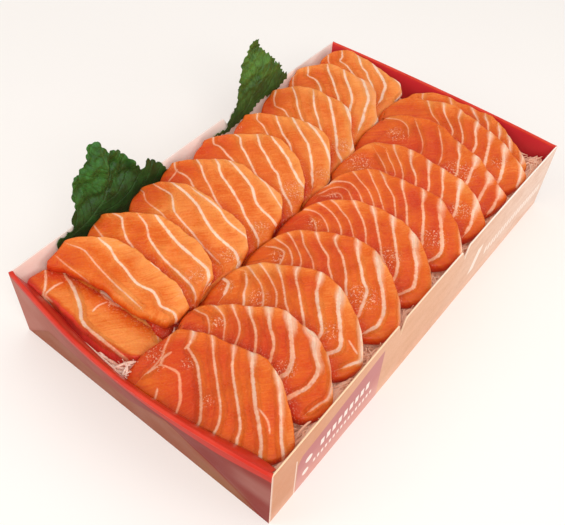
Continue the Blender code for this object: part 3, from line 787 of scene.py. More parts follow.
def slice_piece(spec, seed, mat):
    name, row, profile, powers, tilt, thick, prev, right_row = spec
    first = name == "slice_a01"
    left, right = row[2], row[5]
    span = right - left
    t = np.linspace(-1, 1, N_STATION)
    t = 0.62 * t + 0.38 * np.sin(t * math.pi / 2)
    xs = left + span * (0.5 + 0.5 * t * 0.9985)
    g = rnd(seed)
    ph = g.uniform(0, 6.28, 4)
    tt = np.abs(2 * (xs - left) / span - 1)
    calm = 1 - smooth(0.8, 1.0, tt)
    yf = far_edge(row, xs) + calm * (
        0.40 * np.sin(xs * 0.21 + ph[0]) + 0.22 * np.sin(xs * 0.53 + ph[1]) +
        0.10 * np.sin(xs * 1.3 + ph[2]))
    w = np.maximum(WIDTHS[name](xs), 1.2)
    yn = yf - w
    yp = yn + 0.0
    if prev is not None:
        inside = (xs > prev[2]) & (xs < prev[5])
        yp = np.where(inside, far_edge(prev, xs) - 1.5, yn)
    yv = np.clip(yp, yn + 0.06 * w, yf - 0.45 * w)
    end = np.clip((tt - 0.86) / 0.14, 0, 1)
    depth = thick * (0.62 + 0.38 * np.sqrt(np.maximum(0, 1 - end ** 2)))
    lift = 0.0 if first else 1.7
    run = np.minimum(8.5, 0.42 * w)
    rf = np.minimum(0.9 if not first else 2.2, w / 2.6)
    rn = np.minimum(1.6 if not first else 2.4, w / 2.6)
    # across the top: hidden part, then the part that shows, closer at the rim
    u1 = np.linspace(0, 1, N_HID, endpoint=False)
    u1 = u1 ** 1.6
    u2 = np.linspace(0, 1, N_VIS)
    u2 = 1 - (1 - u2) ** 1.35
    ytop = np.concatenate([yn[:, None] + (yv - yn)[:, None] * u1,
                           yv[:, None] + (yf - yv)[:, None] * u2], 1)
    X = np.repeat(xs[:, None], ytop.shape[1], 1)
    base = plane_top(row, profile, X, ytop, tilt) + \
        common_wave(X, ytop, right_row)
    s = np.clip((ytop - (yf - run)[:, None]) / run[:, None], 0, 1)
    lip = lift * s ** 2 * (0.75 + 0.25 * np.sin(X * 0.16 + ph[3]))
    show = smooth(0.0, 4.0, ytop - yp[:, None]) if prev is not None else 1.0
    own = show * (0.30 * waves(X, ytop, seed + 50, 15.0) +
                  0.09 * waves(X, ytop, seed + 90, 5.0)) * calm[:, None]
    own = np.clip(own, -0.7, 1.2)
    df = np.clip(yf[:, None] - ytop, 0, None)
    dn = np.clip(ytop - yn[:, None], 0, None)

    def round_off(d, r, h):
        q = np.clip(1 - d / r, 0, 1)
        return h * (1 - np.sqrt(np.maximum(0, 1 - q ** 2)))
    hf = 0.42 * depth[:, None] if not first else 0.5 * depth[:, None]
    hn = 0.45 * depth[:, None] if not first else 0.42 * depth[:, None]
    sag = 0.5 * (thick - depth)[:, None]
    dx = np.minimum(xs - xs[0], xs[-1] - xs)[:, None] + 0.0 * df
    edge_drop = round_off(df, rf[:, None], 0.24 * hf / 0.42) + \
        round_off(dn, rn[:, None], hn)
    edge_drop = np.maximum(edge_drop, round_off(dx, 2.0, 1.15))
    ztop = base + lip + own - edge_drop - sag
    # far side, underside, near side
    n_side = 4
    q = np.linspace(0, 1, n_side + 2)[1:-1]
    zb_far = (plane_top(row, profile, xs, yf, tilt) +
              common_wave(xs, yf, right_row) - depth + 0.75 * lift -
              0.5 * (thick - depth))
    z0 = ztop[:, -1]
    yfs = yf[:, None] + 0.28 * np.sin(q * math.pi) - 0.9 * q ** 2
    zfs = z0[:, None] + (zb_far - z0)[:, None] * q
    under = np.linspace(0, 1, 9)
    yb0 = yf - 0.9 - np.minimum(0.6, 0.1 * w)
    yb1 = yn + np.minimum(1.2, 0.2 * w)
    if first:
        yb1 = yn - 1.6 * calm
    yb = yb0[:, None] + (yb1 - yb0)[:, None] * under
    Xb = np.repeat(xs[:, None], 9, 1)
    sb = np.clip((yb - (yf - run)[:, None]) / run[:, None], 0, 1)
    zb = plane_top(row, profile, Xb, yb, tilt) + \
        common_wave(Xb, yb, right_row) - depth[:, None] + \
        0.75 * lift * sb ** 2 - 0.5 * (thick - depth)[:, None]
    if first:
        zb = zb - 1.2
    zn0, zn1 = zb[:, -1], ztop[:, 0]
    yns = yb1[:, None] + (yn - yb1)[:, None] * q - 0.35 * np.sin(q * math.pi)
    zns = zn0[:, None] + (zn1 - zn0)[:, None] * q
    Y = np.concatenate([ytop, yfs, yb, yns], 1)
    Z = np.concatenate([ztop, zfs, zb, zns], 1)
    ns, nr = Y.shape
    XX = np.repeat(xs[:, None], nr, 1)
    V = np.stack([XX, Y, Z], 2).reshape(-1, 3)
    # the ends bulge out a little beyond their last station
    idx = np.arange(ns * nr).reshape(ns, nr)
    faces = []
    for i in range(ns - 1):
        a, b = idx[i], idx[i + 1]
        a2, b2 = np.roll(a, -1), np.roll(b, -1)
        faces.append(np.stack([a, b, b2, a2], 1))
    faces = np.vstack(faces).tolist()
    c0, c1 = V[idx[0]].mean(0), V[idx[-1]].mean(0)
    c0[0] -= 0.25
    c1[0] += 0.25
    V = np.vstack([V, c0, c1])
    k = ns * nr
    for j in range(nr):
        j2 = (j + 1) % nr
        faces.append([idx[0][j], idx[0][j2], k])
        faces.append([idx[-1][j2], idx[-1][j], k + 1])
    V[:, 0] += seam_shift(V[:, 0], V[:, 1])
    if name == "slice_a02":
        V[:, 0] -= 1.7 * smooth(-57, -67, V[:, 0])
    if name == "slice_b01":
        V[:, 0] -= 3.6 * smooth(-94, -107, V[:, 1]) * \
            smooth(14, 1, V[:, 0])
    # pattern: underside and hidden sides take the top's pattern
    ntop = ytop.shape[1]
    P = V.copy()
    zref = np.repeat(ztop[:, -1][:, None], nr, 1)
    zref[:, :ntop] = ztop
    zref[:, ntop + n_side:ntop + n_side + 9] = \
        plane_top(row, profile, Xb, yb, tilt)
    if not first:
        zref[:, ntop + n_side + 9:] = ztop[:, :1]
    if first:
        zref[:, ntop + n_side + 9:] = zns
    P[:k, 2] = zref.ravel()
    pts = plan39(P)
    phi, psi, wid, along = fat_field(pts, name)
    # dprev and dfar drive the painted recess shade and the painted far-edge
    # highlight in the flesh
    dprev = np.full((ns, nr), 30.0)
    if prev is not None:
        inside = (XX > prev[2] + 1) & (XX < prev[5] - 1)
        dprev = np.where(inside, Y - far_edge(prev, XX), 30.0)
    # on the front slice, the distance from the near edge of the slice behind,
    # for painted shade under that edge
    if first:
        dprev = far_edge(LEFT_ROW[0], XX) - WIDTHS["slice_a02"](XX) - Y
        dprev = np.where(dprev < -1.0, 30.0, dprev + 1.0)
    dfar = yf[:, None] - Y

    def ext(a, v=0.0):
        return np.concatenate([a.ravel(), [v, v]])
    # how far down the rounded edge a point lies, 1.7 on the front slice's near
    # face; drives painted shade on edges and side faces and the painted crimson
    # of that face
    side = np.ones((ns, nr))
    side[:, :ntop] = np.clip(edge_drop / np.maximum(hf, hn), 0, 1)
    side[:, ntop + n_side:ntop + n_side + 9] = 1.0
    if first:
        near = smooth(3.2, 1.2, Y[:, :ntop] - yn[:, None])
        side[:, :ntop] = np.maximum(side[:, :ntop], 1.5 * near)
        side[:, ntop:] = 1.7
    md, mw = marks_field(pts, name)
    attrs = {"phi": phi, "psi": psi, "wid": wid, "along": along,
             "mdist": md, "mwide": mw,
             "speck": speckle_field(pts, name),
             "dprev": ext(dprev, 30.0), "dfar": ext(dfar, 1.0),
             "side": ext(side, 1.0),
             "tone": np.full(len(V), g.uniform(-1, 1)),
             # painted shade on the left ends of the left row, under the raised
             # edge of the slice in front
             "lobe_shade": (0.0 if right_row else 1.0) *
             smooth(-50, -66, V[:, 0]),
             "rowb": np.full(len(V), 1.0 if right_row else 0.0),
             "pale": PALE.get(name, 0.0) + (
                 0.45 * smooth(30, 55, V[:, 0]) if right_row else
                 0.36 * smooth(-52, -14, V[:, 0]))}
    ob = new_mesh(name + "_fish", V, faces, mat, attrs, sharp=70)
    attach(ob, "root")
    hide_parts(name)
    return ob


def salmon_material():
    m = Nodes("salmon_flesh")
    co = m.coord()
    phi, psi, wid = m.attr("phi"), m.attr("psi"), m.attr("wid")
    along = m.attr("along")
    tone, rowb, lobe_shade = m.attr("tone"), m.attr("rowb"), m.attr("lobe_shade")
    side = m.attr("side")
    # distance to the nearest fat line, with an uneven edge
    fr = m.math("ABSOLUTE", m.math("SUBTRACT", phi, m.math("ROUND", phi)))
    d = m.math("MULTIPLY", fr, psi)
    wob = m.noise(co, 300.0, 3.0, 0.6)
    wob2 = m.noise(co, 1100.0, 2.0, 0.6)
    jig = m.math("ADD", m.math("MULTIPLY", m.math("SUBTRACT", wob, 0.5), 1.7),
                 m.math("MULTIPLY", m.math("SUBTRACT", wob2, 0.5), 0.9))
    hw = m.math("ADD", m.math("MULTIPLY", wid, 0.50),
                m.math("MULTIPLY", jig, m.math("MULTIPLY", wid, 0.42)))
    fin = m.math("MULTIPLY", m.ramp(m.attr("dfar"), 10.0, 0.0),
                 m.math("MULTIPLY", wid, m.math(
                     "ADD", 0.30, m.math("MULTIPLY", rowb, 0.55))))
    fat = m.ramp(d, m.math("ADD", hw, 0.42), m.math("SUBTRACT", hw, 0.22))
    soft = m.ramp(d, m.math("ADD", hw, m.math("MULTIPLY", fin, 2.6)),
                  m.math("MULTIPLY", hw, 0.4))
    soft = m.math("MULTIPLY", soft, m.math("MULTIPLY", fin, 0.75))
    mw = m.attr("mwide")
    md = m.math("ABSOLUTE", m.attr("mdist"))
    mh = m.math("ADD", m.math("MULTIPLY", mw, 0.5),
                m.math("MULTIPLY", jig, m.math("MULTIPLY", mw, 0.42)))
    mk = m.ramp(md, m.math("ADD", mh, 0.45), m.math("SUBTRACT", mh, 0.25))
    mk = m.math("MULTIPLY", mk, m.ramp(mw, 0.05, 0.3))
    # thin lines are fainter, and every line breaks up a little
    faint = m.math("MULTIPLY", m.ramp(wid, 0.25, 0.9, 0.50, 0.92),
                   m.ramp(wob, 0.25, 0.55, 0.62, 1.0))
    fat = m.math("MULTIPLY", fat, faint)
    fat = m.math("MAXIMUM", fat, m.math("MULTIPLY", mk, 0.75))
    fat = m.math("MAXIMUM", fat, m.math("MINIMUM", soft, 0.6))
    halo = m.ramp(d, m.math("ADD", hw, 2.4), hw)
    # fibres across the bands, and a slow change from line to line
    vec = m.join(m.math("MULTIPLY", along, 1.05),
                 m.math("MULTIPLY", phi, 0.50), tone)
    fib = m.noise(vec, 1.6, 2.0, 0.6, 0.12)
    vec2 = m.join(m.math("MULTIPLY", along, 0.34),
                  m.math("MULTIPLY", phi, 0.9), tone)
    fib2 = m.noise(vec2, 1.6, 2.0, 0.5, 0.2)
    saw = m.math("SUBTRACT", 0.5, m.math("FRACT", phi))
    saw = m.math("MULTIPLY", saw, m.math(
        "SUBTRACT", 1.0, m.math("MULTIPLY", fat, 0.8)))
    big = m.noise(co, 42.0, 2.0, 0.5)
    mid = m.noise(co, 160.0, 3.0, 0.6)
    dprev, dfar = m.attr("dprev"), m.attr("dfar")
    # painted shade: the flesh darkens within 9 mm beyond the far edge of the
    # slice in front; the painted glints are denser there too
    recess_shade = m.ramp(dprev, 9.0, 0.0)
    # painted shade: a stronger darkening in the last 2.6 mm next to that edge
    contact_shade = m.ramp(dprev, 2.6, -0.3)
    # painted highlight: the flesh lightens over the last 7.5 mm before each
    # slice's own far edge
    rim = m.ramp(dfar, 7.5, 0.2)
    # The flesh tone carries painted light: a painted highlight at each slice's
    # own far edge, painted shade beyond the raised far edge of the slice in
    # front and on the left ends of the left row, and painted shade on the
    # rounded edges and side faces
    terms = ((m.math("SUBTRACT", big, 0.5), 1.1),
             (m.math("SUBTRACT", mid, 0.5), 0.55),
             (m.math("SUBTRACT", wob2, 0.5), 0.45),
             (m.math("SUBTRACT", fib, 0.5), 0.85),
             (m.math("SUBTRACT", fib2, 0.5), 0.25),
             (halo, 0.20), (tone, 0.05), (rim, 0.42), (recess_shade, -0.55),
             (contact_shade, -0.55), (lobe_shade, -0.42), (side, -0.55),
             (m.math("MULTIPLY", saw, rowb), 0.34), (rowb, -0.38),
             (m.attr("pale"), 0.30))
    lum = 0.08
    for v, k in terms:
        lum = m.math("ADD", lum, m.math("MULTIPLY", v, k))
    deep, base, light = srgb(FLESH[0]), srgb(FLESH[1]), srgb(FLESH[2])
    red = srgb(FLESH[3])
    col = m.mix(m.ramp(lum, -1.25, -0.55, smooth_step=False), red, deep)
    # painted reflection and shade: the front slice's near face, in shade beside
    # the red card, is tinted crimson
    col = m.mix(m.ramp(side, 1.25, 1.65), col, srgb("#E83C34"))
    col = m.mix(m.ramp(lum, -0.55, 0.0, smooth_step=False), col, base)
    col = m.mix(m.ramp(lum, 0.0, 0.62, smooth_step=False), col, light)
    col = m.mix(m.ramp(lum, 0.62, 1.2, smooth_step=False), col,
                srgb("#F7AA78"))
    fatcol = m.mix(m.ramp(lum, -0.7, 0.5), srgb(FAT[0]), srgb(FAT[1]))
    col = m.mix(fat, col, fatcol)
    # fine wet speckle: real gloss and bump, with pale painted glints mixed into
    # the colour
    spk = m.noise(co, 1250.0, 2.0, 0.7)
    wet_and_glint = m.math("ADD", m.math("MULTIPLY", m.attr("speck"), 0.95),
                 m.math("MULTIPLY", recess_shade, 0.28))
    painted_glint = m.math("MULTIPLY", m.ramp(spk, 0.545, 0.67),
                  m.math("ADD", 0.05, wet_and_glint))
    col = m.mix(painted_glint, col, srgb("#F7B58E"))
    h = m.math("ADD", m.math("MULTIPLY", fib, 0.8),
               m.math("MULTIPLY", fat, 0.20))
    h = m.math("ADD", h, m.math("MULTIPLY", spk, m.math(
        "ADD", 0.42, m.math("MULTIPLY", wet_and_glint, 1.6))))
    nrm = m.bump(h, 0.00030, 1.0)
    rough = m.ramp(mid, 0.3, 0.7, 0.26, 0.42)
    m.bsdf.subsurface_method = "RANDOM_WALK"
    gloss = m.math("ADD", 0.20, m.math("MULTIPLY", m.math(
        "MULTIPLY", m.ramp(spk, 0.50, 0.66), wet_and_glint), 0.9))
    return m.set(color=col, rough=rough, normal=nrm, sss=0.12,
                 sss_radius=(1.0, 0.28, 0.08), sss_scale=0.003,
                 spec=gloss)


FLESH = ("#D04314", "#E0661A", "#F39648", "#BE2812")
FAT = ("#F5A478", "#FFDAC0")
salmon = salmon_material()
fish = [slice_piece(sp, 100 + 7 * i, salmon) for i, sp in enumerate(SLICES)]


# ===================================================================== tray
def bow_y(x, z, sign):
    amount = FAR_BOW if sign > 0 else NEAR_BOW
    return sign * amount * (max(z, 0.0) / TRAY_H) ** 1.3 * \
        math.cos(math.pi * x / TRAY_W)


def bow_x(y, z, sign):
    amount = RIGHT_BOW if sign > 0 else LEFT_BOW
    return sign * amount * (max(z, 0.0) / TRAY_H) * \
        math.cos(math.pi * y / TRAY_L)


def wall_height(y):
    for start, low, end, z in NOTCHES:
        if start < y < end:
            if y < low:
                t = (y - start) / (low - start)
                return TRAY_H + (z - TRAY_H) * t ** 1.25
            t = (y - low) / (end - low)
            return z + (TRAY_H - z) * math.sin(t * math.pi / 2) ** 0.8
    return TRAY_H


def tray_outline():
    hx, hy = TRAY_W / 2, TRAY_L / 2
    n_short = 48
    ys = {-hy + TRAY_L * k / 64 for k in range(65)}
    for start, low, end, _ in NOTCHES:
        ys = {y for y in ys if not start - 0.8 < y < end + 0.8}
        ys |= {start - 0.4, end + 0.4, start, end}
        ys |= {start + (low - start) * k / 6 for k in range(7)}
        ys |= {low + (end - low) * k / 8 for k in range(9)}
    ys = sorted(ys)
    ys = [y for i, y in enumerate(ys) if i == 0 or y - ys[i - 1] > 0.05]
    pts = []
    for k in range(n_short):
        pts.append((-hx + TRAY_W * k / n_short, -hy, "near"))
    for y in ys[:-1]:
        pts.append((hx, y, "right"))
    for k in range(n_short):
        pts.append((hx - TRAY_W * k / n_short, hy, "far"))
    for y in reversed(ys[1:]):
        pts.append((-hx, y, "left"))
    return pts


OUTLINE = tray_outline()


def warp(a, z, seed):
    """Slight unevenness of folded card, none at the corners."""
    return 0.22 * math.sin(a * 0.055 + seed) * math.sin(z * 0.07 + seed)


def tray_ring(inset, frac, drop=0.0):
    hx, hy = TRAY_W / 2, TRAY_L / 2
    ring = []
    for x, y, side in OUTLINE:
        corner = abs(abs(x) - hx) < 1e-6 and abs(abs(y) - hy) < 1e-6
        on_long = side in ("right", "left") and not corner
        top = wall_height(y) if on_long else TRAY_H
        scale = LONG_T / SHORT_T if (on_long or corner) else 1.0
        z = top * frac - drop * scale
        px, py = x, y
        if side in ("near", "far") or corner:
            sy = 1 if y > 0 else -1
            py = y - sy * SHORT_T * inset + bow_y(x, z, sy)
            if not corner:
                edge = 1 - (abs(x) / hx) ** 6
                py += edge * warp(x, z, 1.0 + sy)
        if on_long or corner:
            sx = 1 if x > 0 else -1
            px = x - sx * LONG_T * inset + bow_x(y, z, sx)
            if on_long:
                edge = 1 - (abs(y) / hy) ** 6
                px += edge * warp(y, z, 2.0 + sx) * 0.8
        ring.append((px, py, z))
    return ring


def tray_piece(mats):
    """mats: near, right, far, left outside; red, pale inside; red and raw rims.
    The floor takes the left outside one below and the pale inside one above.
    """
    R = SHORT_T / 2
    rings, kinds = [], []
    for f in (0.0, 0.12, 0.25, 0.38, 0.5, 0.62, 0.74, 0.84, 0.92):
        rings.append(tray_ring(0.0, f))
        kinds.append("out")
    rings.append(tray_ring(0.0, 1.0, R))
    kinds.append("rim")
    for k in range(1, 6):
        a = math.pi * k / 6
        rings.append(tray_ring(0.5 - 0.5 * math.cos(a), 1.0,
                               R * (1 - math.sin(a))))
        kinds.append("rim")
    rings.append(tray_ring(1.0, 1.0, R))
    kinds.append("in")
    for f in (0.92, 0.84, 0.74, 0.62, 0.5, 0.38, 0.25, 0.12):
        rings.append(tray_ring(1.0, f))
        kinds.append("in")
    last = [(x, y, FLOOR_T) for x, y, _ in tray_ring(1.0, 0.0)]
    rings.append(last)
    n = len(OUTLINE)
    V = np.array(rings).reshape(-1, 3)
    slots = {"near": 0, "right": 1, "far": 2, "left": 3}
    faces, fm = [], []
    for r in range(len(rings) - 1):
        for i in range(n):
            j = (i + 1) % n
            faces.append([r * n + i, r * n + j, (r + 1) * n + j,
                          (r + 1) * n + i])
            side = OUTLINE[i][2]
            if OUTLINE[j][2] != side and side in ("right", "left"):
                pass
            short = side in ("near", "far")
            kind = kinds[r]
            if kind == "out":
                fm.append(slots[side])
            elif kind == "rim":
                fm.append(6 if short else 7)
            else:
                fm.append(4 if short else 5)
    k = len(V)
    V = np.vstack([V, [0, 0, 0], [0, 0, FLOOR_T]])
    base, top = 0, (len(rings) - 1) * n
    for i in range(n):
        j = (i + 1) % n
        faces.append([base + j, base + i, k])
        fm.append(3)
        faces.append([top + i, top + j, k + 1])
        fm.append(5)
    ob = new_mesh("tray_card", V, faces, mats, face_mats=fm, sharp=38)
    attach(ob, "root")
    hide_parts("tray")
    return ob


def card_base(m, co, scale=1.0):
    """Fibre flecks and faint mottling of kraft board."""
    fleck = m.noise(co, 900.0 * scale, 4.0, 0.7)
    cloud = m.noise(co, 60.0, 3.0, 0.55)
    return fleck, cloud


def card_bump(m, co, h=None, dist=0.00012):
    n1 = m.noise(co, 1400.0, 3.0, 0.6)
    n2 = m.noise(co, 55.0, 2.0, 0.5)
    x = m.math("ADD", m.math("MULTIPLY", n1, 0.3), m.math("MULTIPLY", n2, 2.2))
    if h is not None:
        x = m.math("ADD", x, h)
    return m.bump(x, dist, 0.8)


def between(m, v, lo, hi, soft=0.0002):
    return m.math("MULTIPLY", m.ramp(v, lo - soft, lo + soft),
                  m.ramp(v, hi + soft, hi - soft))


def near_wall_material(name, flip):
    """Outside of a short wall: coated mauve board above a kraft panel, with
    the red lining folded over the rim."""
    m = Nodes(name)
    co = m.coord()
    x, y, z = m.xyz(co)
    if flip:
        x = m.math("MULTIPLY", x, -1.0)
    fleck, cloud = card_base(m, co)
    t = m.ramp(x, -0.072, 0.072, smooth_step=False)
    coat = m.mix(m.ramp(t, 0.02, 0.34), srgb("#B87262"), srgb("#9E4636"))
    coat = m.mix(m.ramp(t, 0.40, 0.62), coat, srgb("#8A3028"))
    coat = m.mix(m.ramp(t, 0.80, 1.0), coat, srgb("#8E3026"))
    kraft = m.mix(t, srgb("#A45C3E"), srgb("#9A5232"))
    kraft = m.mix(m.ramp(t, 0.75, 1.0), kraft, srgb("#8E3E28"))
    kraft = m.mix(m.ramp(fleck, 0.35, 0.7), kraft, m.mix(
        0.35, kraft, srgb("#8A4C35")))
    left = m.math("MULTIPLY", m.math("ADD", x, 0.071), 0.95)
    steep = m.math("SUBTRACT", 0.031,
                   m.math("MULTIPLY", m.math("SUBTRACT", x, 0.025), 1.06))
    right = m.math("SUBTRACT", 0.0215,
                   m.math("MULTIPLY", m.math("SUBTRACT", x, 0.034), 0.59))
    right = m.math("MAXIMUM", steep, right)
    rise = m.math("ADD", 0.0185, m.math("MULTIPLY", 0.6, m.math(
        "MAXIMUM", x, 0.0)))
    bound = m.math("MINIMUM", m.math("MINIMUM", left, right), rise)
    dz = m.math("SUBTRACT", bound, z)
    mask = m.ramp(dz, -0.0003, 0.0003)
    col = m.mix(mask, coat, kraft)
    # painted shadow: a dark red line along the flap edge, with a shallow groove
    # in the bump
    crease_and_shadow = m.math("MULTIPLY", m.ramp(m.math("ABSOLUTE", dz), 0.0024, 0.0004),
                    m.ramp(x, 0.012, 0.026, 0.15, 1.0))
    col = m.mix(m.math("MULTIPLY", crease_and_shadow, 0.9), col, srgb("#8C1A12"))
    ochre = m.math("MULTIPLY", between(m, x, 0.034, 0.060, 0.006),
                   m.ramp(z, 0.015, 0.004))
    col = m.mix(m.math("MULTIPLY", ochre, 0.5), col, srgb("#9A6432"))
    # painted highlight: a lighter band below the rim near the right end
    sheen = m.math("MULTIPLY", m.ramp(x, 0.048, 0.064),
                   between(m, z, 0.018, 0.031, 0.004))
    col = m.mix(m.math("MULTIPLY", sheen, 0.45), col, srgb("#BC8478"))
    hb = m.math("ADD", m.ramp(x, -0.072, -0.03, 0.0020, 0.0042),
                m.ramp(x, -0.01, 0.03, 0.0, 0.0030))
    hb = m.math("SUBTRACT", hb, m.ramp(x, 0.045, 0.071, 0.0, 0.0030))
    band = m.math("SUBTRACT", z, m.math("SUBTRACT", 0.0412, hb))
    red = m.ramp(band, -0.0005, 0.0005)
    col = m.mix(red, col, srgb("#CC3222"))
    col = m.mix(m.math("MULTIPLY", cloud, 0.12), col, srgb("#7E3B36"))
    h = m.math("MULTIPLY", crease_and_shadow, -1.2)
    return m.set(color=col, rough=m.ramp(cloud, 0.3, 0.7, 0.44, 0.56),
                 normal=card_bump(m, co, h), spec=0.10)


def long_wall_material(name, flip):
    """Outside of a long wall: kraft board with a printed panel."""
    m = Nodes(name)
    co = m.coord()
    x, y, z = m.xyz(co)
    if flip:
        y = m.math("MULTIPLY", y, -1.0)
    fleck, cloud = card_base(m, co)
    t = m.ramp(y, -0.1175, 0.1175, smooth_step=False)
    col = m.mix(m.ramp(t, 0.0, 0.42), srgb("#CB8A64"), srgb("#DCA886"))
    col = m.mix(m.ramp(t, 0.42, 1.0), col, srgb("#E9CBB9"))
    col = m.mix(m.ramp(z, 0.010, 0.0), col, m.mix(
        0.5, col, srgb("#F0B9A0")))
    col = m.mix(m.math("MULTIPLY", m.ramp(fleck, 0.42, 0.75), 0.30), col,
                srgb("#B9774F"))
    long = m.noise(m.join(x, m.math("MULTIPLY", y, 0.25), z), 260.0, 3.0, 0.6)
    col = m.mix(m.math("MULTIPLY", m.ramp(long, 0.40, 0.7), 0.28), col,
                srgb("#C58A62"))
    # panel with a slanting top edge and a cut corner
    dy = m.math("SUBTRACT", y, -0.101)
    ztop = m.math("ADD", 0.0275, m.math("MULTIPLY", dy, 0.12))
    chamfer = m.math("ADD", 0.0235, m.math("MULTIPLY", dy, 1.6))
    inside = m.math("MULTIPLY", between(m, y, -0.101, -0.0425),
                    m.ramp(m.math("SUBTRACT", m.math(
                        "MINIMUM", ztop, chamfer), z), -0.0002, 0.0002))
    pink = m.mix(m.ramp(z, 0.0, 0.024), srgb("#DA9A90"), srgb("#B4666C"))
    pink = m.mix(m.math("MULTIPLY", cloud, 0.25), pink, srgb("#CB827A"))
    col = m.mix(m.math("MULTIPLY", inside, 0.9), col, pink)
    frame_line = m.math("MULTIPLY", between(m, y, -0.1022, -0.1015, 0.0001),
                        m.ramp(z, 0.029, 0.0285))
    # generic print: two rows of short bars and two dots
    bars = None
    for z0, z1, y0, y1, n, w in ((0.0175, 0.0222, -0.086, -0.050, 9, 0.62),
                                 (0.0095, 0.0120, -0.090, -0.047, 16, 0.55)):
        u = m.math("FRACT", m.math("MULTIPLY", m.math(
            "SUBTRACT", y, y0), n / (y1 - y0)))
        row = m.math("MULTIPLY", between(m, y, y0, y1),
                     between(m, z, z0, z1, 0.00025))
        row = m.math("MULTIPLY", row, m.ramp(u, w + 0.04, w - 0.04))
        bars = row if bars is None else m.math("MAXIMUM", bars, row)
    for cy, cz, r in ((-0.0935, 0.0185, 0.0024), (-0.0950, 0.0095, 0.0022)):
        dd = m.math("SQRT", m.math("ADD", m.math(
            "POWER", m.math("SUBTRACT", y, cy), 2.0), m.math(
                "POWER", m.math("SUBTRACT", z, cz), 2.0)))
        bars = m.math("MAXIMUM", bars, m.ramp(dd, r, r - 0.0003))
    u = m.math("FRACT", m.math("MULTIPLY", m.math("SUBTRACT", y, 0.051), 290))
    tail = m.math("MULTIPLY", between(m, y, 0.051, 0.112),
                  between(m, z, 0.0135, 0.0190, 0.00025))
    tail = m.math("MULTIPLY", tail, m.ramp(u, 0.68, 0.60))
    bars = m.math("MAXIMUM", bars, m.math("MULTIPLY", tail, 0.8))
    bars = m.math("MAXIMUM", bars, m.math("MULTIPLY", frame_line, 0.7))
    slant = m.math("SUBTRACT", y, m.math("MULTIPLY", m.math(
        "SUBTRACT", z, 0.012), 0.35))
    wedge = m.math("MULTIPLY", between(m, z, 0.0120, 0.0265),
                   between(m, slant, 0.0350, 0.0405))
    bars = m.math("MAXIMUM", bars, m.math("MULTIPLY", wedge, 0.85))
    col = m.mix(m.math("MULTIPLY", bars, 0.85), col, srgb("#FBEFE6"))
    # pale raw edge at the front fold
    edge = m.ramp(y, -0.1160, -0.1172)
    col = m.mix(m.math("MULTIPLY", edge, 0.7), col, srgb("#EBD6C8"))
    return m.set(color=col, rough=m.ramp(cloud, 0.3, 0.7, 0.42, 0.55),
                 normal=card_bump(m, co), spec=0.3)


def red_inside_material():
    m = Nodes("card_red_inside")
    co = m.coord()
    x, y, z = m.xyz(co)
    fleck, cloud = card_base(m, co)
    col = m.mix(m.ramp(x, -0.07, 0.07), srgb("#DC3036"), srgb("#D43038"))
    # painted shade: darker towards the bottom, deeper in the tray
    col = m.mix(m.ramp(z, 0.041, 0.025), col, m.mix(
        0.35, col, srgb("#7E0F16")))
    col = m.mix(m.math("MULTIPLY", m.ramp(fleck, 0.5, 0.8), 0.12), col,
                srgb("#E0584E"))
    return m.set(color=col, rough=m.ramp(cloud, 0.3, 0.7, 0.30, 0.42),
                 normal=card_bump(m, co), spec=0.4)


def pale_inside_material():
    m = Nodes("card_pale_inside")
    co = m.coord()
    x, y, z = m.xyz(co)
    fleck, cloud = card_base(m, co)
    col = m.mix(m.ramp(y, -0.115, -0.05), srgb("#F3DDD2"), srgb("#FBEDE4"))
    col = m.mix(m.math("MULTIPLY", m.ramp(fleck, 0.45, 0.8), 0.15), col,
                srgb("#CFA793"))
    # warmer towards the bottom
    lower_warm_tint = m.ramp(z, 0.034, 0.018)
    col = m.mix(m.math("MULTIPLY", lower_warm_tint, 0.25), col, srgb("#E2A487"))
    # painted light: the pale inside glows faintly to lift its shaded faces
    m.bsdf.inputs["Emission Color"].default_value = (1.0, 0.74, 0.62, 1.0)
    m.bsdf.inputs["Emission Strength"].default_value = 0.09
    return m.set(color=col, rough=m.ramp(cloud, 0.3, 0.7, 0.40, 0.52),
                 normal=card_bump(m, co), spec=0.35)


def red_rim_material():
    m = Nodes("card_red_rim")
    co = m.coord()
    x, y, z = m.xyz(co)
    fleck, cloud = card_base(m, co)
    col = m.mix(m.ramp(cloud, 0.3, 0.7), srgb("#CE2A18"), srgb("#DE3E26"))
    wear = m.ramp(m.noise(co, 700.0, 4.0, 0.7), 0.66, 0.78)
    col = m.mix(m.math("MULTIPLY", wear, 0.25), col, srgb("#F7A58E"))
    return m.set(color=col, rough=0.36, normal=card_bump(m, co), spec=0.28)


def raw_rim_material():
    m = Nodes("card_raw_edge")
    co = m.coord()
    fleck, cloud = card_base(m, co)
    x, y, z = m.xyz(co)
    col = m.mix(fleck, srgb("#EBBE92"), srgb("#F8DCBC"))
    col = m.mix(m.ramp(y, -0.06, 0.08), col, srgb("#FBEFE4"))
    col = m.mix(m.ramp(x, 0.0, -0.05), col, srgb("#EFE2DA"))
    return m.set(color=col, rough=0.6, normal=card_bump(m, co), spec=0.25)


tray = tray_piece([near_wall_material("card_near_outside", False),
                   long_wall_material("card_right_outside", False),
                   near_wall_material("card_far_outside", True),
                   long_wall_material("card_left_outside", True),
                   red_inside_material(), pale_inside_material(),
                   red_rim_material(), raw_rim_material()])


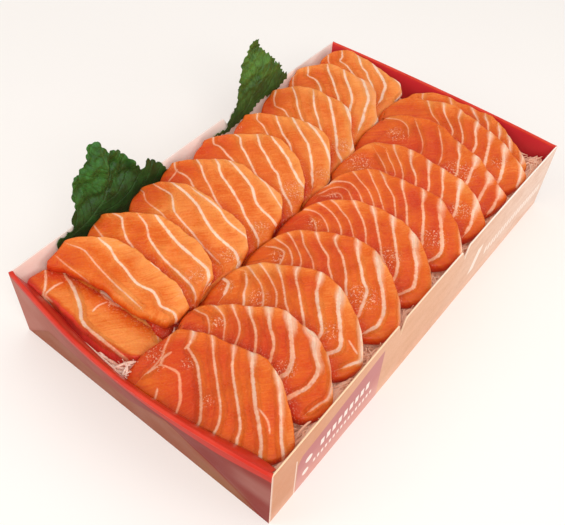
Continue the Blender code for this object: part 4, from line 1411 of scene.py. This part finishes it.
def ledge_piece(mat):
    """Red flap folded in from the near rim, sloping down to the slices."""
    xs = np.linspace(-69.5, 70.2, 110)
    w = np.interp(xs, (-70, -62, -45, -20, 0, 12, 40, 58, 66, 70.5),
                  (0.3, 3.0, 5.0, 3.6, 2.6, 3.0, 4.6, 6.0, 4.6, 3.2))
    drop = np.interp(xs, (-70, -62, -45, -20, 0, 12, 40, 58, 66, 70.5),
                     (0.4, 4.2, 7.5, 5.6, 4.4, 4.6, 6.0, 5.6, 3.8, 2.4))
    rows = []
    for x, wi, di in zip(xs, w, drop):
        y0 = -TRAY_L / 2 + SHORT_T * 0.8 + bow_y(x, 40.0, -1)
        sec = []
        for k in range(7):
            t = k / 6
            sec.append((x, y0 + wi * t ** 0.9, 40.8 - di * t ** 1.15))
        for k in range(6, -1, -1):
            t = k / 6
            sec.append((x, y0 + wi * t ** 0.9 - 0.3, 40.2 - di * t ** 1.15))
        rows.append(sec)
    V = np.array(rows).reshape(-1, 3)
    V[:, 2] += 0.18 * waves(V[:, 0], V[:, 1], 61, 16.0)
    n = 14
    faces = []
    for i in range(len(xs) - 1):
        for j in range(n):
            j2 = (j + 1) % n
            faces.append([i * n + j, (i + 1) * n + j, (i + 1) * n + j2,
                          i * n + j2])
    faces.append(list(range(n)))
    faces.append([(len(xs) - 1) * n + j for j in range(n - 1, -1, -1)])
    ob = new_mesh("tray_flap", V, faces, mat, sharp=40)
    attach(ob, "root")
    return ob


def flap_material():
    m = Nodes("card_red_flap")
    co = m.coord()
    x, y, z = m.xyz(co)
    fleck, cloud = card_base(m, co)
    col = m.mix(m.ramp(x, -0.03, 0.04), srgb("#B81C1A"), srgb("#D22C1C"))
    # painted shade: darker towards its lower edge, under the slices' near edges
    col = m.mix(m.ramp(z, 0.0405, 0.0350), col, m.mix(
        0.7, col, srgb("#A5140F")))
    return m.set(color=col, rough=0.28, normal=card_bump(m, co), spec=0.45)


flap = ledge_piece(flap_material())


# ====================================================================== bed
def under_slices(x, y, grow=1.0):
    """Lowest slice underside over each point, nan where none."""
    low = np.full(x.shape, np.nan)
    for name, row, profile, powers, tilt, thick, _, rr in SLICES:
        yf = far_edge(row, x)
        w = np.where((x > row[2]) & (x < row[5]),
                     WIDTHS[name](x), slice_width(row, x, powers))
        m = (x > row[2] - grow) & (x < row[5] + grow) & \
            (y < yf + grow) & (y > yf - w - grow)
        if name == "slice_a01":
            m = m | ((x > row[2] - grow) & (x < row[5] + grow) &
                     (y < yf + grow) & (y > yf - w - grow - 1.8))
        z = plane_top(row, profile, x, y, tilt) + common_wave(x, y, rr) - \
            thick - (1.3 if name == "slice_a01" else 0.0)
        low = np.where(m, np.fmin(low, z), low)
    return low


def open_top(x, y):
    """Height of the shreds where nothing lies on them."""
    z = 28.0 + 0.9 * waves(x, y, 3, 26.0)
    z = z + 2.6 * smooth(-40, -20, x) * smooth(2, -6, x) * \
        smooth(-108, -114, y)
    z = z + 4.0 * smooth(58, 66, x)
    z = z + 4.0 * smooth(-60, -68, x) * smooth(-90, -104, y)
    return z + 5.5 * seam(x, y)


def seam(x, y):
    """Where the inner ends of the two rows meet."""
    mid = np.interp(y, (-95, -20, 30, 70, 100), (-2, -4.5, -6.5, -11, -15))
    return smooth(9.5, 5.0, np.abs(x - mid)) * smooth(-108, -98, y) * \
        smooth(116, 110, y)


def bed_top(x, y):
    low = under_slices(x, y)
    return np.where(np.isnan(low), open_top(x, y),
                    np.fmin(low - 0.6, open_top(x, y)))


def bed_core(mat):
    nx, ny = 96, 158
    gx = np.linspace(-69.6, 69.3, nx + 1)
    gy = np.linspace(0, 1, ny + 1)
    X, T = np.meshgrid(gx, gy, indexing="ij")
    y0 = near_limit(X, 24.0) + 0.6
    y1 = 114.9 + 1.2 * np.cos(np.pi * X / TRAY_W)
    Y = y0 + (y1 - y0) * T
    Z = bed_top(X, Y)
    # smooth the steps at the slice outlines downwards
    for _ in range(3):
        P = np.pad(Z, 1, mode="edge")
        nb = np.minimum(np.minimum(P[:-2, 1:-1], P[2:, 1:-1]),
                        np.minimum(P[1:-1, :-2], P[1:-1, 2:]))
        Z = np.minimum(Z, 0.5 * (Z + nb))
    Z = Z - 1.3 + 0.55 * waves(X, Y, 21, 6.0) + 0.35 * waves(X, Y, 22, 2.8)
    V = np.stack([X, Y, Z], 2).reshape(-1, 3)
    idx = np.arange(len(V)).reshape(nx + 1, ny + 1)
    q = np.stack([idx[:-1, :-1], idx[1:, :-1], idx[1:, 1:], idx[:-1, 1:]],
                 2).reshape(-1, 4)
    faces = q.tolist()
    rim = [idx[i, 0] for i in range(nx)] + [idx[nx, j] for j in range(ny)] + \
        [idx[i, ny] for i in range(nx, 0, -1)] + \
        [idx[0, j] for j in range(ny, 0, -1)]
    low = []
    lv = []
    for k, v in enumerate(rim):
        p = V[v].copy()
        yy = p[1]
        if yy < -100:
            yy = max(yy, -TRAY_L / 2 + SHORT_T + 0.5)
        lv.append((p[0], min(yy, 115.0), 1.4))
        low.append(len(V) + k)
    V = np.vstack([V, np.array(lv)])
    n = len(rim)
    for k in range(n):
        j = (k + 1) % n
        faces.append([rim[j], rim[k], low[k], low[j]])
    faces.append([low[k] for k in range(n - 1, -1, -1)])
    ob = new_mesh("daikon_core", V, faces, mat,
                  {"seam": seam(V[:, 0], V[:, 1])}, sharp=60)
    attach(ob, "root")
    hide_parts("daikon_bed")
    return ob


def strands_piece(mat):
    g = rnd(77)
    n_seg, n_side = 15, 5
    zones = []      # x0, x1, y0, y1, count, extra height
    zones.append((-50, 2, -122, -110, 120, 1.6))
    zones.append((-69, -56, -114, -92, 46, 2.4))
    zones.append((60, 69, -112, 112, 250, 0.5))
    zones.append((30, 69, 100, 115, 60, 1.2))
    zones.append((-69, -60, -80, 112, 70, 1.0))
    zones.append((10, 69, -112, 113, 170, 0.0))
    zones.append((-69, -16, -112, 113, 130, 0.0))
    V, F, T = [], [], []
    off = 0
    ring = np.arange(n_side) * 2 * math.pi / n_side
    for x0, x1, y0, y1, count, up in zones:
        for _ in range(count):
            L = g.uniform(16, 46)
            step = L / n_seg
            p = np.array([g.uniform(x0, x1), g.uniform(y0, y1)])
            a = g.uniform(0, 2 * math.pi)
            if x1 - x0 < 14 and y1 - y0 > 100 and g.random() < 0.65:
                a = math.pi / 2 + g.normal(0, 0.5)
            bend = g.normal(0, 0.07)
            path = []
            for _k in range(n_seg + 1):
                path.append(p.copy())
                bend += g.normal(0, 0.05)
                bend = max(-0.26, min(0.26, bend))
                a += bend
                nxt = p + step * np.array([math.cos(a), math.sin(a)])
                lo = -115.0 - 4.2 * math.cos(math.pi * nxt[0] / TRAY_W) \
                    if nxt[1] < -100 else -120
                if not -69.0 < nxt[0] < 68.7:
                    a = math.pi - a
                    nxt = p + step * np.array([math.cos(a), math.sin(a)])
                if not lo < nxt[1] < 114.2:
                    a = -a
                    nxt = p + step * np.array([math.cos(a), math.sin(a)])
                nxt[0] = min(68.8, max(-69.1, nxt[0]))
                nxt[1] = min(114.6, max(lo, nxt[1]))
                p = nxt
            path = np.array(path)
            path[:, 1] = np.maximum(path[:, 1],
                                    near_limit(path[:, 0], 25.0) + 0.8)
            r = g.uniform(0.36, 0.60)
            top = bed_top(path[:, 0], path[:, 1])
            low = under_slices(path[:, 0], path[:, 1], 1.4)
            lift = g.uniform(-1.4, 0.5) + \
                np.where(np.isnan(low), up * g.uniform(0, 1.6), 0.0)
            z = top + lift + 0.5 * np.sin(
                np.linspace(0, g.uniform(3, 9), n_seg + 1) + g.uniform(0, 6))
            z = np.where(np.isnan(low), z, np.fmin(z, low - r - 0.35))
            # ease the height along the strand, never above the limit
            lim = np.where(np.isnan(low), 60.0, low - r - 0.35)
            for _k in range(4):
                zz = z.copy()
                zz[1:-1] = (z[:-2] + 2 * z[1:-1] + z[2:]) / 4
                z = np.fmin(zz, lim)
            c = np.column_stack([path, z])
            tan = np.gradient(c, axis=0)
            tan /= np.linalg.norm(tan, axis=1)[:, None] + 1e-9
            n1 = np.cross(tan, [0, 0, 1])
            n1 /= np.linalg.norm(n1, axis=1)[:, None] + 1e-9
            n2 = np.cross(n1, tan)
            rr = r * np.ones(n_seg + 1)
            rr[0] *= 0.45
            rr[-1] *= 0.45
            body = c[:, None] + rr[:, None, None] * (
                n1[:, None] * np.cos(ring)[None, :, None] +
                n2[:, None] * 0.8 * np.sin(ring)[None, :, None])
            V.append(body.reshape(-1, 3))
            T.append(np.full((n_seg + 1) * n_side, g.uniform(0, 1)))
            idx = off + np.arange((n_seg + 1) * n_side).reshape(-1, n_side)
            a_, b_ = idx[:-1], idx[1:]
            F.append(np.stack([a_, b_, np.roll(b_, -1, 1),
                               np.roll(a_, -1, 1)], 2).reshape(-1, 4))
            F.append(idx[0][::-1][None])
            F.append(idx[-1][None])
            off += (n_seg + 1) * n_side
    V = np.vstack(V)
    faces = [f for blk in F for f in blk.tolist()]
    ob = new_mesh("daikon_shreds", V, faces, mat,
                  {"tone": np.concatenate(T)}, sharp=80)
    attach(ob, "root")
    return ob


def daikon_material(name, core):
    m = Nodes(name)
    co = m.coord()
    x, y, z = m.xyz(co)
    n1 = m.noise(co, 260.0, 3.0, 0.6)
    n2 = m.noise(co, 1100.0, 2.0, 0.6)
    if core:
        col = m.mix(n1, srgb("#D9A284"), srgb("#F0CDB6"))
        pit = m.ramp(n2, 0.5, 0.35)
        col = m.mix(m.math("MULTIPLY", pit, 0.35), col, srgb("#C98F70"))
        # painted shade: darker and more orange in the strip by the right wall
        col = m.mix(m.math("MULTIPLY", m.ramp(x, 0.045, 0.058), 0.8), col,
                    srgb("#D08A62"))
        flesh = m.mix(n1, srgb("#D8481A"), srgb("#EE6E30"))
        col = m.mix(m.ramp(m.attr("seam"), 0.05, 0.35), col, flesh)
        rough = 0.5
    else:
        t = m.attr("tone")
        col = m.mix(t, srgb("#DC9E88"), srgb("#F0CCBC"))
        shade = m.ramp(x, 0.045, 0.060)
        col = m.mix(m.math("MULTIPLY", shade, 0.7), col, srgb("#EEB492"))
        col = m.mix(m.math("MULTIPLY", m.ramp(n1, 0.45, 0.7), 0.18), col,
                    srgb("#E8A584"))
        rough = m.ramp(n1, 0.3, 0.7, 0.18, 0.34)
    nrm = m.bump(m.math("ADD", n1, n2), 0.0002, 0.6)
    # painted light: the shreds and core glow faintly warm to lift them out of
    # shade
    m.bsdf.inputs["Emission Color"].default_value = (1.0, 0.60, 0.42, 1.0)
    m.bsdf.inputs["Emission Strength"].default_value = 0.075
    return m.set(color=col, rough=rough, normal=nrm, sss=0.2,
                 sss_radius=(1.0, 0.7, 0.5), sss_scale=0.002, spec=0.5)


core = bed_core(daikon_material("daikon_core", True))
shreds = strands_piece(daikon_material("daikon_shreds", False))


# =================================================================== leaves
NEAR_LEAF = ((95, 145), (89, 154), (87, 169), (80.5, 177), (74, 182),
             (73, 197), (79, 209), (74, 215), (74, 226), (61, 238),
             (57.5, 247), (70, 248), (90, 244), (99, 231), (113, 221),
             (127, 216), (133, 207), (149, 196), (165, 187), (168, 173),
             (163, 166), (156, 163), (145.5, 161), (139, 169), (133, 164.5),
             (129, 159), (116, 151), (109, 154.5), (101, 147))
FAR_LEAF = ((255, 39), (250, 49), (248, 60), (244, 62), (243, 70.5),
            (240.6, 77), (242, 84), (239, 93.5), (238, 107), (231, 118),
            (228, 127), (213, 135.6), (226, 132.5), (240.6, 119.5),
            (250, 112), (256, 103), (265, 95), (274, 93), (280, 84),
            (287, 75), (282, 73), (280, 65), (274, 64), (272, 58),
            (267, 54), (260.5, 48))


def leaf_plane(y, z):
    """X of a leaf's mid surface: upright at the wall, leaning out above."""
    return -70.6 - 0.085 * np.clip(z - 40.0, 0, None)


def seen_on_leaf(pts):
    """Outline from the frame's pixels to (y, z) on the leaning plane."""
    out = []
    for px, py in pts:
        x = -71.0
        for _ in range(6):
            p = on_plane(px, py, np.array([1.0, 0, 0]), x)
            x = float(leaf_plane(p[1], p[2]))
        out.append((p[1], p[2]))
    return np.array(out)


def inside_poly(P, q):
    x, y = q[:, 0], q[:, 1]
    c = np.zeros(len(q), bool)
    n = len(P)
    for i in range(n):
        x1, y1 = P[i]
        x2, y2 = P[(i + 1) % n]
        if y1 == y2:
            continue
        m = ((y1 > y) != (y2 > y)) & \
            (x < (x2 - x1) * (y - y1) / (y2 - y1) + x1)
        c ^= m
    return c


def serrate(P, depth, pitch, seed, rounded=False):
    """Adds saw teeth, or rounded scallops, along the outline."""
    g = rnd(seed)
    n = len(P)
    c = P.mean(0)
    out = []
    for i in range(n):
        a, b = P[i], P[(i + 1) % n]
        d = b - a
        L = np.linalg.norm(d)
        k = max(1, int(round(L / pitch)))
        nr = np.array([d[1], -d[0]]) / (L + 1e-9)
        if ((a + b) / 2 - c) @ nr < 0:
            nr = -nr
        for j in range(k):
            t = j / k
            h = depth * g.uniform(0.5, 1.2)
            out.append(a + d * t)
            if rounded:
                for q in (0.2, 0.4, 0.6, 0.8):
                    out.append(a + d * (t + q / k) +
                               nr * h * math.sin(q * math.pi) ** 0.6)
            else:
                out.append(a + d * (t + 0.62 / k) + nr * h)
    return np.array(out)


def leaf_piece(name, node, px, rib, crumple, seed, mat, rounded):
    P = serrate(seen_on_leaf(px), 1.5, 4.6 if rounded else 3.6, seed,
                rounded)
    R = seen_on_leaf(rib)
    step = 0.42
    lo, hi = P.min(0) - 1, P.max(0) + 1
    ny = int((hi[0] - lo[0]) / step) + 1
    nz = int((hi[1] - lo[1]) / step) + 1
    yy, zz = np.meshgrid(lo[0] + step * np.arange(ny),
                         lo[1] + step * np.arange(nz), indexing="ij")
    q = np.stack([yy.ravel(), zz.ravel()], 1)
    ins = inside_poly(P, q)
    closed = np.vstack([P, P[:1]])
    d, _, foot, _ = to_curve(q, closed)
    # snap grid points that lie near the outline onto it
    snap = d < 0.5 * step * 1.25
    q[snap] = foot[snap]
    use = ins | snap
    idx = np.arange(len(q)).reshape(ny, nz)
    quads = np.stack([idx[:-1, :-1], idx[1:, :-1], idx[1:, 1:],
                      idx[:-1, 1:]], 2).reshape(-1, 4)
    keep = use[quads]
    faces = [list(f) for f in quads[keep.all(1)]]
    three = quads[keep.sum(1) == 3]
    mk = keep[keep.sum(1) == 3]
    faces += [[int(v) for v, k in zip(f, kk) if k]
              for f, kk in zip(three, mk)]
    used = sorted({int(v) for f in faces for v in f})
    remap = {v: i for i, v in enumerate(used)}
    faces = [[remap[int(v)] for v in f] for f in faces]
    q = q[used]
    din = d[used]
    # midrib and side veins
    mid = curve(R, 0.8)
    dm, sm, fm, am = to_curve(q, mid)
    L = np.linalg.norm(R[-1] - R[0])
    u = am * L
    vein = np.abs(((u - 0.75 * dm) / 5.2) % 1.0 - 0.5) * 5.2
    vein = 2.6 - vein
    side_rel = np.minimum(vein, 2.6)
    h = 0.22 * np.exp(-(side_rel / 0.7) ** 2) + 0.9 * np.exp(-(dm / 0.9) ** 2)
    puff = 0.30 * np.sin(np.clip(side_rel / 2.6, 0, 1) * math.pi) + \
        0.62 * waves(q[:, 0], q[:, 1], seed + 3, 5.2) + \
        0.42 * waves(q[:, 0], q[:, 1], seed + 4, 2.8)
    x = leaf_plane(q[:, 0], q[:, 1])
    lift = smooth(40.0, 52.0, q[:, 1])
    bend = crumple * (0.9 * waves(q[:, 0], q[:, 1], seed + 1, 21.0) +
                      0.35 * waves(q[:, 0], q[:, 1], seed + 2, 8.0))
    x = x + lift * (bend + 0.5 * puff - 0.35 * h) - \
        lift * crumple * 0.035 * dm
    x = np.where(q[:, 1] < 42.0, np.maximum(np.minimum(x, -69.9), -70.75), x)
    nv = len(q)
    half = 0.16
    front = np.stack([x + half, q[:, 0], q[:, 1]], 1)
    back = np.stack([x - half, q[:, 0], q[:, 1]], 1)
    V = np.vstack([front, back])
    edges = {}
    for f in faces:
        for a, b in zip(f, f[1:] + f[:1]):
            edges[(a, b)] = edges.get((a, b), 0) + 1
    rim = [(a, b) for (a, b) in edges if (b, a) not in edges]
    allf = [f for f in faces]
    allf += [[v + nv for v in reversed(f)] for f in faces]
    allf += [[b, a, a + nv, b + nv] for a, b in rim]
    attrs = {"rib": np.tile(dm, 2), "vein": np.tile(side_rel, 2),
             "edge": np.tile(din, 2)}
    ob = new_mesh(name, V, allf, mat, attrs, sharp=70)
    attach(ob, "root")
    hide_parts(node)
    return ob


def leaf_material(name, light, dark, deep):
    m = Nodes(name)
    co = m.coord()
    rib, vein = m.attr("rib"), m.attr("vein")
    n1 = m.noise(co, 130.0, 3.0, 0.6)
    n2 = m.noise(co, 700.0, 3.0, 0.6)
    col = m.mix(m.ramp(n1, 0.35, 0.65), srgb(dark), srgb(light))
    col = m.mix(m.math("MULTIPLY", m.ramp(n2, 0.4, 0.7), 0.35), col,
                srgb(deep))
    v = m.ramp(vein, 0.55, 0.05)
    r = m.ramp(rib, 0.75, 0.2)
    pale = m.math("MAXIMUM", m.math("MULTIPLY", v, 0.05),
                  m.math("MULTIPLY", r, 0.16))
    col = m.mix(pale, col, srgb("#6E9A55"))
    # painted shade: the leaf darkens towards the tray rim below it
    low = m.ramp(m.xyz(co)[2], 0.062, 0.042)
    col = m.mix(m.math("MULTIPLY", low, 0.55), col, srgb("#1E3012"))
    h = m.math("ADD", m.math("MULTIPLY", n2, 0.7), m.math(
        "MULTIPLY", m.math("MAXIMUM", v, r), -0.8))
    return m.set(color=col, rough=m.ramp(n1, 0.3, 0.7, 0.42, 0.6),
                 normal=m.bump(h, 0.0003, 0.9), spec=0.35, sss=0.06,
                 sss_radius=(0.3, 0.8, 0.15), sss_scale=0.0015)


leaf1 = leaf_piece("leaf_near_shiso", "leaf_near", NEAR_LEAF,
                   ((62, 243), (90, 218), (108, 185), (100, 150)),
                   1.7, 31, leaf_material("leaf_near_green", "#3A7428",
                                          "#264E1A", "#1D3A15"), True)
leaf2 = leaf_piece("leaf_far_shiso", "leaf_far", FAR_LEAF,
                   ((215, 135), (243, 112), (256, 80), (255, 40)),
                   0.9, 47, leaf_material("leaf_far_green", "#5A862F",
                                          "#3C6424", "#3A4822"), False)

# ============================================================ stage, lights
floor_me = bpy.data.meshes.new("floor")
floor_me.from_pydata([(-3, -3, 0), (3, -3, 0), (3, 3, 0), (-3, 3, 0)], [],
                     [(0, 1, 2, 3)])
floor = bpy.data.objects.new("floor", floor_me)
scene.collection.objects.link(floor)
fmat = Nodes("floor_pale")
fco = fmat.coord()
fmat.set(color=fmat.mix(fmat.noise(fco, 3.0), srgb("#DAD5D0"),
                        srgb("#DDD8D4")), rough=0.85, spec=0.1)
fmat.bsdf.inputs["Emission Color"].default_value = (1.0, 0.97, 0.94, 1.0)
fmat.bsdf.inputs["Emission Strength"].default_value = 0.26
floor_me.materials.append(fmat.mat)

world = bpy.data.worlds.new("soft")
scene.world = world
world.use_nodes = True
bg = world.node_tree.nodes["Background"]
bg.inputs[0].default_value = (1.0, 0.985, 0.965, 1)
bg.inputs[1].default_value = 0.50


def area(name, loc, target, size, power, colour=(1, 1, 1)):
    li = bpy.data.lights.new(name, "AREA")
    li.shape = "RECTANGLE"
    li.size, li.size_y = size
    li.energy = power
    li.color = colour
    ob = bpy.data.objects.new(name, li)
    scene.collection.objects.link(ob)
    d = np.array(target, float) - np.array(loc, float)
    z = -d / np.linalg.norm(d)
    x = np.cross([0, 0, 1], z)
    x /= np.linalg.norm(x)
    y = np.cross(z, x)
    m = Matrix.Identity(4)
    for i in range(3):
        m[i][0], m[i][1], m[i][2], m[i][3] = x[i], y[i], z[i], loc[i]
    ob.matrix_world = m
    return ob


area("key", (0.55, -0.45, 0.75), (0, 0, 0.03), (0.55, 0.55), 4.7,
     (1.0, 0.985, 0.97))
area("side", (-0.50, -0.55, 0.60), (0, 0, 0.03), (0.5, 0.5), 1.6)
area("right", (0.85, 0.10, 0.30), (0, 0, 0.03), (0.5, 0.35), 1.5,
     (1.0, 0.98, 0.96))
area("top", (-0.10, 0.30, 0.95), (0, 0, 0.03), (0.8, 0.8), 2.0)

cam = bpy.data.cameras.new("photo_view")
cam.sensor_width = 36.0
cam.lens = CAM_F / 565.0 * 36.0
cam.clip_start = 0.01
cam_ob = bpy.data.objects.new("photo_view", cam)
scene.collection.objects.link(cam_ob)
mw = Matrix.Identity(4)
for _k in range(3):
    mw[_k][0], mw[_k][1], mw[_k][2] = CAM_R[_k], CAM_U[_k], CAM_B[_k]
    mw[_k][3] = CAM[_k] * MM
cam_ob.matrix_world = mw
scene.camera = cam_ob
scene.view_settings.view_transform = "Standard"
